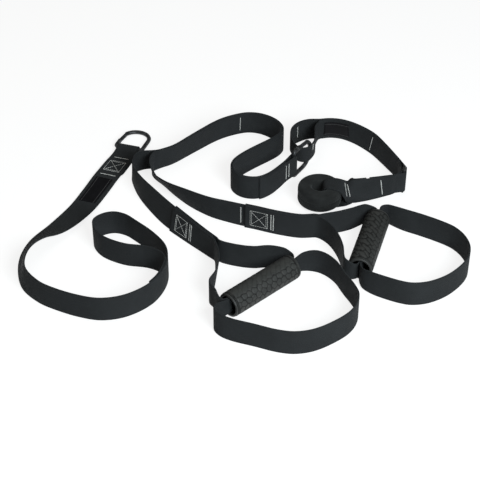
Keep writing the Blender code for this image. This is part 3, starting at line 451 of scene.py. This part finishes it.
def label_look():
    """Black satin ribbon with a plain woven border."""
    look = Look("label_satin", (0.006, 0.006, 0.007), 0.6, specular=0.14)
    place, u, v = look.uv()
    satin = look.wave(look.math("ADD", u, look.math("MULTIPLY", v, 0.5)), 0.0007)
    slow = look.noise(place, 90.0, 2.0)
    from_line = look.math("ABSOLUTE", look.math("SUBTRACT", look.math("ABSOLUTE", v), BORDER))
    line = look.math("SUBTRACT", 1.0, look.remap(from_line, 0.0, BORDER_HALF, 0.0, 1.0), True)
    body = look.blend(look.remap(slow, 0.3, 0.7, 0.0, 1.0), (0.003, 0.003, 0.004), (0.006, 0.006, 0.008))
    look.colour(look.blend(look.math("MULTIPLY", line, 0.5), body, (0.20, 0.20, 0.20)))
    look.roughness(look.remap(satin, 0.0, 1.0, 0.52, 0.66))
    look.bump(satin, 0.00008, 0.5)
    return look.material


# ---- meshes ----------------------------------------------------------------------------------
def piece(name, verts, faces, material, smooth=True):
    """A new mesh object in the scene."""
    mesh = bpy.data.meshes.new(name)
    mesh.from_pydata([tuple(v) for v in verts], [], faces)
    mesh.update()
    mesh.polygons.foreach_set("use_smooth", [smooth] * len(mesh.polygons))
    obj = bpy.data.objects.new(name, mesh)
    bpy.context.scene.collection.objects.link(obj)
    mesh.materials.append(material)
    return obj


def stands_for(obj, node):
    """A piece takes a CAD node's place and rides on its body."""
    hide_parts(node)
    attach(obj, BODY_OF[node])


def middle(verts):
    """The middle of some corners."""
    return sum((v.co for v in verts), Vector()) / len(verts)


def beside(verts, seen):
    """The corners that these are joined to and that aren't seen yet."""
    out = []
    for v in verts:
        for e in v.link_edges:
            other = e.other_vert(v)
            if other not in seen and other not in out:
                out.append(other)
    return out


def near_ones(v):
    """The corners at the other ends of a corner's short edges."""
    return [e.other_vert(v) for e in v.link_edges if e.calc_length() < CLOSE]


def first_rung(bm):
    """The two pairs of corners of the most upright cross-section, the low pair first."""
    rungs = [
        e for e in bm.edges
        if e.calc_length() > RUNG_LEAST and all(len(near_ones(v)) == 1 for v in e.verts)
    ]
    best = max(rungs, key=lambda e: abs((e.verts[0].co - e.verts[1].co).normalized().z))
    return [[v, near_ones(v)[0]] for v in sorted(best.verts, key=lambda v: v.co.z)]


def walk(found, low, high, seen):
    """The cross-sections one after another, from the four corners found beside the first."""
    line = []
    while len(found) > 1 and not seen.intersection(found):
        low_ones = sorted(found, key=lambda v: (v.co - low).length)[:2]
        rest = [v for v in found if v not in low_ones]
        if not rest:
            break
        high_ones = sorted(rest, key=lambda v: (v.co - high).length)[:2]
        low, high = middle(low_ones), middle(high_ones)
        line.append((low, high))
        seen.update(low_ones, high_ones)
        found = beside(low_ones + high_ones, seen)
    return line


def ladder(node):
    """A webbing solid's cross-sections in order, each as its low and its high edge, and whether it closes.
    A solid is a row of cross-sections of four corners, so the walk goes from one four to the next."""
    bm = bmesh.new()
    bm.from_mesh(NODES[node].data)
    bmesh.ops.remove_doubles(bm, verts=bm.verts, dist=WELD)
    start = first_rung(bm)
    corners = [v for pair in start for v in pair]
    seen = set(corners)
    centre = middle(corners)
    found = beside(corners, seen)
    across = (middle(start[1]) - middle(start[0])).normalized()
    way = found[0].co - centre
    way -= across * way.dot(across)
    ahead = [v for v in found if (v.co - centre).dot(way) > 0]
    behind = [v for v in found if v not in ahead]
    low, high = (middle(pair) for pair in start)
    onward = walk(ahead, low, high, seen)
    back = walk(behind, low, high, seen)
    bm.free()
    return back[::-1] + [(low, high)] + onward, not back


def on_span(ends, times, t):
    """The point at t on a centripetal Catmull-Rom span, whose four points are passed at four times."""
    ta, tb, tc, td = times
    point = []
    for p, q, r, s in zip(*ends):
        pq = p + (q - p) * (t - ta) / (tb - ta)
        qr = q + (r - q) * (t - tb) / (tc - tb)
        rs = r + (s - r) * (t - tc) / (td - tc)
        pr = pq + (qr - pq) * (t - ta) / (tc - ta)
        qs = qr + (rs - qr) * (t - tb) / (td - tb)
        point.append(pr + (qs - pr) * (t - tb) / (tc - tb))
    return point


def curve_through(rows, closed):
    """A smooth curve through rows of numbers. The first three of a row are its place and set the pace."""
    count = len(rows)
    out = []
    for i in range(count if closed else count - 1):
        if closed:
            ends = [rows[(i + k - 1) % count] for k in range(4)]
        else:
            b, c = rows[i], rows[i + 1]
            a = rows[i - 1] if i else [2 * p - q for p, q in zip(b, c)]
            d = rows[i + 2] if i + 2 < count else [2 * p - q for p, q in zip(c, b)]
            ends = [a, b, c, d]
        times = [0.0]
        for a, b in zip(ends, ends[1:]):
            times.append(times[-1] + math.dist(a[:3], b[:3]) ** 0.5)
        for k in range(SPAN_STEPS):
            out.append(on_span(ends, times, times[1] + (times[2] - times[1]) * k / SPAN_STEPS))
    out.append(list(out[0] if closed else rows[-1]))
    return out


def evenly(fine):
    """A curve's length, and its rows again at even steps along it."""
    walked = [0.0]
    for a, b in zip(fine, fine[1:]):
        walked.append(walked[-1] + math.dist(a[:3], b[:3]))
    length = walked[-1]
    count = round(length / STEP)
    rows = []
    at = 0
    for k in range(count + 1):
        u = length * k / count
        while at < len(fine) - 2 and walked[at + 1] < u:
            at += 1
        span = walked[at + 1] - walked[at]
        share = (u - walked[at]) / span if span > 0 else 0.0
        rows.append([p + (q - p) * share for p, q in zip(fine[at], fine[at + 1])])
    return length, rows


class Strap:
    """A band of webbing along its CAD solid, measured in metres along it (u) and across it (v, up or to the
    left). Its side 1 is the one that the walk's direction crossed with the across direction points to."""

    def __init__(self, node, start):
        self.name = node
        rungs, self.closed = ladder(node)

        def away(i, point):
            return ((rungs[i][0] + rungs[i][1]) / 2 - Vector(point)).length

        if self.closed:
            first = min(range(len(rungs)), key=lambda i: away(i, start))
            rungs = rungs[first:] + rungs[:first]
            if away(-1, STRAP_TOWARDS[node]) < away(1, STRAP_TOWARDS[node]):
                rungs = rungs[:1] + rungs[:0:-1]
        elif away(-1, start) < away(0, start):
            rungs.reverse()
        rows = [[*((low + high) / 2), *(high - low)] for low, high in rungs]
        self.length, self.rows = evenly(curve_through(rows, self.closed))

    def frame(self, u):
        """Centre, direction along, the whole way across and the normal of side 1, at u."""
        count = len(self.rows) - 1
        if self.closed:
            u = u % self.length
        spot = min(max(u / self.length * count, 0.0), count)
        i = min(int(spot), count - 1)
        share = spot - i
        row = [p + (q - p) * share for p, q in zip(self.rows[i], self.rows[i + 1])]
        before, after = ((i + k) % count if self.closed else min(max(i + k, 0), count) for k in (-1, 2))
        way = (Vector(self.rows[after][:3]) - Vector(self.rows[before][:3])).normalized()
        across = Vector(row[3:])
        way = (way - across.normalized() * way.dot(across.normalized())).normalized()
        return Vector(row[:3]), way, across, way.cross(across).normalized()

    def at(self, u, v, height):
        """The point at u and v, and this far from the middle of the webbing's thickness."""
        centre, _, across, normal = self.frame(u)
        return centre + across * (v / (2 * WEB_HALF)) + normal * height

    def nearest(self, point, away_from=None):
        """The u and v nearest to a point, or nearest on another turn of the strap than one place's."""
        point = Vector(point)
        pace = self.length / (len(self.rows) - 1)
        those = range(len(self.rows))
        if away_from is not None:
            those = [k for k in those if abs(k * pace - away_from) > LAYERS_APART]
        i = min(those, key=lambda k: (Vector(self.rows[k][:3]) - point).length)
        u = pace * i
        centre, way, across, _ = self.frame(u)
        u += (point - centre).dot(way)
        centre, way, across, _ = self.frame(u)
        return u, (point - centre).dot(across.normalized()) / across.length * 2 * WEB_HALF

    def side_of(self, point):
        """The side of the strap, 1 or -1, that a point is on."""
        u, _ = self.nearest(point)
        centre, _, _, normal = self.frame(u)
        return 1 if (Vector(point) - centre).dot(normal) > 0 else -1


def section(thick):
    """A band's cross-section: each corner's share of the half width, how far it is set in, and its height."""
    half = thick / 2
    radius = min(EDGE_ROUND, thick * ROUND_MOST)
    out = []
    for side in (1, -1):
        out += [(side * s, 0.0, side * half) for s in FACE_SHARES]
        for angle in EDGE_ANGLES:
            a = math.radians(angle)
            height = math.copysign(half - radius, a) + radius * math.sin(a)
            out.append((side, side * radius * (math.cos(a) - 1.0), side * height))
    return out


def band(strap, name, material, start=0.0, stop=None, lift=0.0, thick=WEB_THICK, half=None):
    """The mesh of a strap or of a patch on it, between two places along it. Its UVs are metres."""
    stop = strap.length if stop is None else stop
    whole = strap.closed and stop - start >= strap.length - STEP / 2
    count = max(round((stop - start) / STEP), 4)
    shape = section(thick)
    each = len(shape)
    rings = count if whole else count + 1
    verts = []
    for k in range(rings):
        centre, _, across, normal = strap.frame(start + (stop - start) * k / count)
        out = across.normalized()
        reach = across.length / 2 if half is None else half
        for share, inset, height in shape:
            verts.append(centre + out * (reach * share + inset) + normal * (height + lift))
    # Each face is a list of its corners, and each corner is its ring and its place on the ring.
    faces = [[(k + 1, j), (k + 1, j + 1), (k, j + 1), (k, j)] for k in range(count) for j in range(each)]
    if not whole:
        faces.append([(0, j) for j in range(each)])
        faces.append([(count, j) for j in reversed(range(each))])
    obj = piece(name, verts, [[k % rings * each + j % each for k, j in face] for face in faces], material)
    layer = obj.data.uv_layers.new(name="UVMap")
    wide = WEB_HALF if half is None else half
    corners = (corner for face in faces for corner in face)
    for index, (k, j) in enumerate(corners):
        share, inset, _ = shape[j % each]
        layer.data[index].uv = (start + (stop - start) * k / count, share * wide + inset)
    return obj


def capsule(verts, faces, a, b, normal):
    """One stitch of thread from a to b, its ends sunk into the webbing."""
    way = (b - a).normalized()
    side = way.cross(normal).normalized()
    up = side.cross(way).normalized()
    base = len(verts)
    for share, size, sink in STITCH_FORM:
        centre = a.lerp(b, share) - up * THREAD_R * sink
        for k in range(THREAD_SIDES):
            angle = 2 * math.pi * k / THREAD_SIDES
            verts.append(centre + (side * math.cos(angle) + up * math.sin(angle)) * THREAD_R * size)
    rows = len(STITCH_FORM) - 1
    for r in range(rows):
        for k in range(THREAD_SIDES):
            p, q = base + r * THREAD_SIDES + k, base + r * THREAD_SIDES + (k + 1) % THREAD_SIDES
            faces.append((p, q, q + THREAD_SIDES, p + THREAD_SIDES))
    faces.append(tuple(base + k for k in reversed(range(THREAD_SIDES))))
    faces.append(tuple(base + rows * THREAD_SIDES + k for k in range(THREAD_SIDES)))


class Sewing:
    """The stitches on one side of a strap. Places are (u, v)."""

    def __init__(self, strap, side):
        self.strap = strap
        self.side = side
        self.verts = []
        self.faces = []

    def stitch(self, a, b):
        height = self.side * (WEB_THICK / 2 + THREAD_R * THREAD_PROUD)
        normal = self.strap.frame((a[0] + b[0]) / 2)[3] * self.side
        capsule(self.verts, self.faces, self.strap.at(*a, height), self.strap.at(*b, height), normal)

    def line(self, a, b):
        """Lock stitches in a row from a to b."""
        span = math.dist(a, b)
        count = max(round(span / STITCH_PITCH), 1)
        gap = (span / count - STITCH_LENGTH) / 2 / span
        for k in range(count):
            s, t = k / count + gap, (k + 1) / count - gap
            self.stitch([p + (q - p) * s for p, q in zip(a, b)], [p + (q - p) * t for p, q in zip(a, b)])

    def bar(self, a, b):
        """A bartack: close zigzag stitches from a to b."""
        span = math.dist(a, b)
        along = [(q - p) / span for p, q in zip(a, b)]
        square = (-along[1], along[0])
        count = max(round(span / BAR_PITCH), 2)
        last = None
        for k in range(count + 1):
            s = k / count
            out = BAR_WIDTH / 2 * (1 if k % 2 else -1)
            point = [p + (q - p) * s + n * out for p, q, n in zip(a, b, square)]
            if last is not None:
                self.stitch(last, point)
            last = point

    def cross_box(self, u0, u1):
        """A box across the strap with a cross in it, and a second line inside each of its ends."""
        corners = [(u0, -BOX_HALF), (u1, -BOX_HALF), (u1, BOX_HALF), (u0, BOX_HALF)]
        for a, b in zip(corners, corners[1:] + corners[:1]):
            self.line(a, b)
        self.line(corners[0], corners[2])
        self.line(corners[1], corners[3])
        for u in (u0 + BOX_INSET, u1 - BOX_INSET):
            self.line((u, -BOX_HALF + BOX_INSET), (u, BOX_HALF - BOX_INSET))

    def made(self, material):
        face = "front" if self.side > 0 else "back"
        obj = piece(f"{self.strap.name}_stitches_{face}", self.verts, self.faces, material)
        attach(obj, BODY_OF[self.strap.name])


# ---- pieces ----------------------------------------------------------------------------------
def straps(look):
    """Every strap's woven piece, and the straps by name."""
    made = {}
    for node, start in STRAP_STARTS.items():
        made[node] = Strap(node, start)
        stands_for(band(made[node], node + "_woven", look), node)
    return made


def own_number(i, j):
    """A number that mixes a cell's column and row, to tell it from the others."""
    return i * CELL_MIX[0] + j * CELL_MIX[1]


def hexes(x, y, pitch):
    """How far a point is from the edge of its six-sided cell, that cell's own number, its middle's y, and the
    y of the cell beside it."""
    tall = pitch * math.sqrt(3.0)
    best = []
    for shift in (0.0, 0.5):
        i = round(x / pitch - shift) + shift
        j = round(y / tall - shift) + shift
        for di in (-1, 0, 1):
            best.append((math.hypot(x - (i + di) * pitch, y - j * tall), i + di, j))
    best.sort()
    (near, i, j), (far, _, beyond) = best[:2]
    return (far - near) / 2, own_number(i, j), j * tall, beyond * tall


def leaves(x, y):
    """How far a point is from the edge of its slanted leaf, and that leaf's own number."""
    a = math.radians(LEAF_SLANT)
    p = x * math.cos(a) + y * math.sin(a)
    q = -x * math.sin(a) + y * math.cos(a)
    row = math.floor(q / LEAF_WIDE)
    q -= (row + 0.5) * LEAF_WIDE
    p += LEAF_LONG * LEAF_SHIFT * row
    cell = math.floor(p / LEAF_LONG)
    p -= (cell + 0.5) * LEAF_LONG
    taper = 1.0 - LEAF_TAPER * (2 * p / LEAF_LONG) ** 2
    inside = min(LEAF_WIDE / 2 * taper - abs(q), (LEAF_LONG / 2 - abs(p)) * LEAF_TIP)
    return inside, own_number(row, cell)


def land_of(inside, own=None):
    """The pattern's height, 0 to 1, so far inside an edge. A cell's own number makes it a little lower."""
    share = min(max((inside - GROOVE_HALF) / GROOVE_SLOPE, 0.0), 1.0)
    height = share * share * (3 - 2 * share)
    if own is None:
        return height
    own = math.sin(own) * CELL_MIX[2]
    return height * (LAND_LEAST + LAND_SPREAD * (own - math.floor(own)))


def grip_relief(along, around, leaf_depth):
    """1 on the pattern's lands and 0 in its grooves, at metres along the grip and degrees from its top.
    Two fields of scales face each other, with slanted leaves between them."""
    arc = math.radians((around - SCALES_MIDDLE + 90.0) % 180.0 - 90.0) * GRIP_R
    x = along + WARP * math.sin(WARP_ALONG[0] * arc + WARP_ALONG[1] * along + WARP_ALONG[2])
    y = arc + WARP * math.sin(WARP_AROUND[0] * along - WARP_AROUND[1] * arc)
    end = land_of(GRIP_LENGTH / 2 - abs(along) - PLAIN_END)
    inside, own, row, beside_row = hexes(x, y, SCALE_PITCH)
    if abs(row) < SCALES_REACH:
        return min(land_of(inside, own), end)
    leaf = 1 - (1 - land_of(*leaves(x, y))) * leaf_depth
    if abs(beside_row) < SCALES_REACH:
        leaf = min(leaf, land_of(inside))
    return min(leaf, end)


def ring_faces(rings, around):
    """The faces of rings of corners, where each ring is joined to the next and the last to the first."""
    faces = []
    for i in range(rings):
        for k in range(around):
            j = (k + 1) % around
            a, b = i * around, (i + 1) % rings * around
            faces.append((a + k, a + j, b + j, b + k))
    return faces


def sleeve_profile():
    """The sleeve's outline: along, out, and 1 where it is moulded. It starts in the bore at one end, goes
    over that end's rounded lip and along the outside, and ends in the bore at the other."""
    half = GRIP_LENGTH / 2
    count = round((GRIP_LENGTH - 2 * GRIP_LIP) / GRIP_STEP)
    lip = [(-half + GRIP_LIP * (1 - math.cos(a)), GRIP_BORE + GRIP_LIP * (1 - math.sin(a)), 0)
           for a in (math.pi / 2, math.pi / 4, 0.0)]
    lip += [(-half + GRIP_LIP * (1 - math.sin(a)), GRIP_R - GRIP_LIP * (1 - math.cos(a)), 0)
            for a in (math.pi / 2, math.pi / 3, math.pi / 6)]
    outside = [(-half + GRIP_LIP + (GRIP_LENGTH - 2 * GRIP_LIP) * k / count, GRIP_R, 1)
               for k in range(count + 1)]
    return lip + outside + [(-x, r, 0) for x, r, _ in reversed(lip)]


def sleeve(name, look):
    """A moulded rubber sleeve: its outside pressed in along the pattern's grooves, its ends rounded."""
    place, heading, slot, leaf_depth = GRIPS[name]
    around = round(2 * math.pi * GRIP_R / GRIP_STEP)
    profile = sleeve_profile()
    verts = []
    relief = []
    for x, r, moulded in profile:
        for k in range(around):
            angle = 2 * math.pi * k / around
            land = grip_relief(x, math.degrees(angle), leaf_depth) if moulded else PLAIN_LAND
            reach = r - GROOVE * (1 - land) * moulded
            verts.append((x, -reach * math.sin(angle), reach * math.cos(angle)))
            relief.append(land)
    obj = piece(name + "_moulded", verts, ring_faces(len(profile), around), look)
    mark = obj.data.attributes.new("relief", "FLOAT", "POINT")
    mark.data.foreach_set("value", relief)
    uv = obj.data.uv_layers.new(name="UVMap")
    for index, corner in enumerate(obj.data.loops):
        ring, k = divmod(corner.vertex_index, around)
        uv.data[index].uv = (profile[ring][0], 2 * math.pi * k / around * GRIP_R)
    obj.data.transform(Matrix.Translation(place) @ Matrix.Rotation(math.radians(heading), 4, "Z"))
    stands_for(obj, name)


def stop_profile():
    """The disc's outline, out from its middle and up, from the hole round the outside and back."""
    out = []
    low, high = STOP_LOW, STOP_HIGH
    for cx, cz, r, first, last, count in (
        (STOP_HOLE_R + STOP_HOLE_EDGE, high - STOP_HOLE_EDGE, STOP_HOLE_EDGE, 180, 90, 8),
        (STOP_R - STOP_EDGE, high - STOP_EDGE, STOP_EDGE, 90, 0, 14),
        (STOP_R - STOP_EDGE, low + STOP_EDGE, STOP_EDGE, 0, -90, 14),
        (STOP_HOLE_R + STOP_HOLE_EDGE, low + STOP_HOLE_EDGE, STOP_HOLE_EDGE, -90, -180, 8),
    ):
        for k in range(count + 1):
            a = math.radians(first + (last - first) * k / count)
            out.append((cx + r * math.cos(a), cz + r * math.sin(a)))
    return out


def dent(angle, z):
    """How much the cover gives, uneven as filled cloth is, and drawn in at the seam round its waist."""
    slow = sum(math.sin(count * angle + phase) * share for count, phase, share in GIVE_WAVES)
    from_waist = z - (STOP_LOW + STOP_HIGH) / 2
    waist = math.exp(-(from_waist / WAIST_WIDE) ** 2)
    pucker = 0.5 + 0.5 * math.sin(PUCKERS * angle)
    near = math.exp(-(from_waist / PUCKER_WIDE) ** 2)
    return GIVE * (1 + slow) / 2 + waist * WAIST + near * pucker * PUCKER


def door_stop(look):
    """The foam disc's cover, a crowned ring that gives a little between its seams."""
    outline = stop_profile()
    dense = []
    for (x0, z0), (x1, z1) in zip(outline, outline[1:] + outline[:1]):
        count = max(1, round(math.hypot(x1 - x0, z1 - z0) / STOP_STEP))
        dense += [(x0 + (x1 - x0) * k / count, z0 + (z1 - z0) * k / count) for k in range(count)]
    across, back = STOP_MIDDLE
    verts = []
    for x, z in dense:
        outer = min(max((x - STOP_HOLE_R - GIVE_FROM) / GIVE_OVER, 0.0), 1.0)
        for k in range(STOP_AROUND):
            angle = 2 * math.pi * k / STOP_AROUND
            reach = x - dent(angle, z) * outer
            verts.append((across + reach * math.cos(angle), back + reach * math.sin(angle), z))
    # This outline runs the other way round than the sleeve's, so its faces are turned over.
    faces = [(a, d, c, b) for a, b, c, d in ring_faces(len(dense), STOP_AROUND)]
    obj = piece("door_stop_disc_cover", verts, faces, look)
    obj.data.set_sharp_from_angle(angle=math.radians(STOP_SHARP))
    stands_for(obj, "door_stop_disc")


def label(strap, node, look):
    """A thin ribbon over the label's CAD plate."""
    mesh = NODES[node].data
    spots = [strap.nearest(v.co) for v in mesh.vertices]
    side = 1 if sum(strap.side_of(v.co) for v in mesh.vertices) > 0 else -1
    start, stop = min(u for u, _ in spots), max(u for u, _ in spots) + LABEL_MORE[node]
    half = max(abs(v) for _, v in spots)
    lift = side * (WEB_THICK / 2 + LABEL_LIFT)
    stands_for(band(strap, node + "_ribbon", look, start, stop, lift, LABEL_THICK, half), node)


def other_face(made, strap, side, u, other):
    """The strap, side and place where a seam comes out behind, or None."""
    if other == "none":
        return None
    if other == "back":
        return strap, -side, u
    if other == "mirror":
        return strap, side, strap.length - u
    centre, _, _, normal = strap.frame(u)
    there = made[other]
    place, _ = there.nearest(centre - normal * side * SEAM_DEPTH, u if there is strap else None)
    centre_there, _, _, normal_there = there.frame(place)
    return there, 1 if normal_there.dot(centre_there - centre) > 0 else -1, place


def seams(made, look):
    """Every sewn bar and crossed box, on the face that shows and on the one behind."""
    work = {}

    def hand(strap, side):
        key = (strap.name, side)
        if key not in work:
            work[key] = Sewing(strap, side)
        return work[key]

    for name, side, u, v0, v1, aslant, other in BARS:
        strap = made[name]
        hand(strap, side).bar((u - aslant, v0), (u + aslant, v1))
        found = other_face(made, strap, side, u, other)
        if found:
            there, face, place = found
            hand(there, face).bar((place, v0), (place, v1))
    for name, side, u0, u1, other in BOXES:
        strap = made[name]
        hand(strap, side).cross_box(u0, u1)
        if other == "mirror":
            hand(strap, side).cross_box(strap.length - u1, strap.length - u0)
    for sewing in work.values():
        sewing.made(look)


def rounded(node, look):
    """A copy of a hard CAD node with the same form, smooth on its rounds and eased at its corners."""
    mesh = NODES[node].data.copy()
    work = bmesh.new()
    work.from_mesh(mesh)
    bmesh.ops.remove_doubles(work, verts=work.verts, dist=SAME_POINT)
    work.to_mesh(mesh)
    work.free()
    mesh.materials.clear()
    mesh.materials.append(look)
    mesh.shade_smooth()
    mesh.set_sharp_from_angle(angle=math.radians(SHARP_ANGLE))
    obj = bpy.data.objects.new(f"{node}_rounded", mesh)
    bpy.context.scene.collection.objects.link(obj)
    ease = obj.modifiers.new("ease", "BEVEL")
    ease.limit_method = "ANGLE"
    ease.angle_limit = math.radians(SHARP_ANGLE)
    ease.width = EASE
    ease.segments = 2
    stands_for(obj, node)


def hard_pieces():
    """The metal and the grips' end rings, and a better material for the tubes inside the grips."""
    gun = metal_look("gunmetal", (0.045, 0.047, 0.050), (0.15, 0.153, 0.158), 0.40)
    dark = metal_look("dark_steel", (0.035, 0.036, 0.037), (0.11, 0.11, 0.113), 0.44)
    tube = plastic_look("tube_black", (0.012, 0.012, 0.012), 0.45)
    ring = plastic_look("ring_dark", (0.032, 0.033, 0.032), 0.5)
    for number in (1, 2):
        rounded(f"carabiner_{number}_frame", gun)
        rounded(f"carabiner_{number}_gate", gun)
        rounded(f"carabiner_{number}_pin", dark)
        rounded(f"handle_{number}_ring_near", ring)
        rounded(f"handle_{number}_ring_far", ring)
        for slot in NODES[f"handle_{number}_tube"].material_slots:
            slot.material = tube
    rounded("rectangular_ring", dark)


def seen_by(nodes, links, *rays):
    """1 for two kinds of ray and 0 for the others."""
    path = nodes.new("ShaderNodeLightPath")
    seen = nodes.new("ShaderNodeMath")
    seen.operation = "MAXIMUM"
    for ray, socket in zip(rays, seen.inputs):
        links.new(path.outputs[ray], socket)
    return seen.outputs[0]


def floor():
    """A pale matte floor, which looks white to the camera and in reflections. It takes the shadows."""
    look = bpy.data.materials.new("studio_floor")
    look.use_nodes = True
    nodes = look.node_tree.nodes
    links = look.node_tree.links
    nodes.clear()
    grain = nodes.new("ShaderNodeTexNoise")
    grain.inputs["Scale"].default_value = 3.0
    ramp = nodes.new("ShaderNodeMapRange")
    ramp.inputs["To Min"].default_value, ramp.inputs["To Max"].default_value = FLOOR_PAINT
    links.new(grain.outputs["Fac"], ramp.inputs["Value"])
    paint = nodes.new("ShaderNodeBsdfDiffuse")
    links.new(ramp.outputs[0], paint.inputs["Color"])
    level = nodes.new("ShaderNodeMath")
    level.operation = "MULTIPLY"
    links.new(seen_by(nodes, links, "Is Camera Ray", "Is Glossy Ray"), level.inputs[0])
    level.inputs[1].default_value = FLOOR_GLOW
    glow = nodes.new("ShaderNodeEmission")
    glow.inputs["Color"].default_value = (1.0, 1.0, 1.0, 1.0)
    links.new(level.outputs[0], glow.inputs["Strength"])
    both = nodes.new("ShaderNodeAddShader")
    links.new(paint.outputs[0], both.inputs[0])
    links.new(glow.outputs[0], both.inputs[1])
    output = nodes.new("ShaderNodeOutputMaterial")
    links.new(both.outputs[0], output.inputs["Surface"])
    verts = [(x * FLOOR_HALF, y * FLOOR_HALF, FLOOR_LEVEL) for x, y in ((-1, -1), (1, -1), (1, 1), (-1, 1))]
    piece("studio_floor", verts, [(0, 1, 2, 3)], look, False)


def world():
    """A white backdrop to the camera, and a faint even light on the object."""
    sky = bpy.data.worlds.new("studio")
    bpy.context.scene.world = sky
    sky.use_nodes = True
    nodes = sky.node_tree.nodes
    links = sky.node_tree.links
    back = nodes["Background"]
    back.inputs["Color"].default_value = (1.0, 1.0, 1.0, 1.0)
    level = nodes.new("ShaderNodeMapRange")
    level.inputs["To Min"].default_value = WORLD_LIGHT
    level.inputs["To Max"].default_value = 1.0
    links.new(seen_by(nodes, links, "Is Camera Ray", "Is Transmission Ray"), level.inputs["Value"])
    links.new(level.outputs[0], back.inputs["Strength"])


def add(name, data, place, aim):
    """A lamp or camera in the scene, at a place and turned towards another. Returns its object."""
    obj = bpy.data.objects.new(name, data)
    bpy.context.scene.collection.objects.link(obj)
    obj.location = place
    obj.rotation_mode = "QUATERNION"
    obj.rotation_quaternion = (Vector(aim) - Vector(place)).to_track_quat("-Z", "Y")
    return obj


def lamp(name, place, power, size, tint):
    """A square soft lamp, aimed at the middle of the layout."""
    data = bpy.data.lights.new(name, "AREA")
    data.shape = "SQUARE"
    data.size = size
    data.energy = power
    data.color = tint
    add(name, data, place, (0.0, 0.0, 0.0))


def camera():
    data = bpy.data.cameras.new("camera")
    data.sensor_width = SENSOR
    data.lens = SENSOR * FOCAL_PIXELS / FRAME_PIXELS
    data.clip_start = CLIP_START
    bpy.context.scene.camera = add("camera", data, CAMERA_AT, CAMERA_AIM)


def main():
    camera()
    floor()
    world()
    for values in LAMPS:
        lamp(*values)
    made = straps(webbing_look())
    seams(made, thread_look())
    rubber = rubber_look()
    for name in GRIPS:
        sleeve(name, rubber)
    door_stop(stop_look())
    satin = label_look()
    label(made["anchor_webbing"], "anchor_label", satin)
    label(made["door_strap_webbing"], "door_label", satin)
    hard_pieces()


main()
bpy.context.scene.view_settings.view_transform = "Standard"
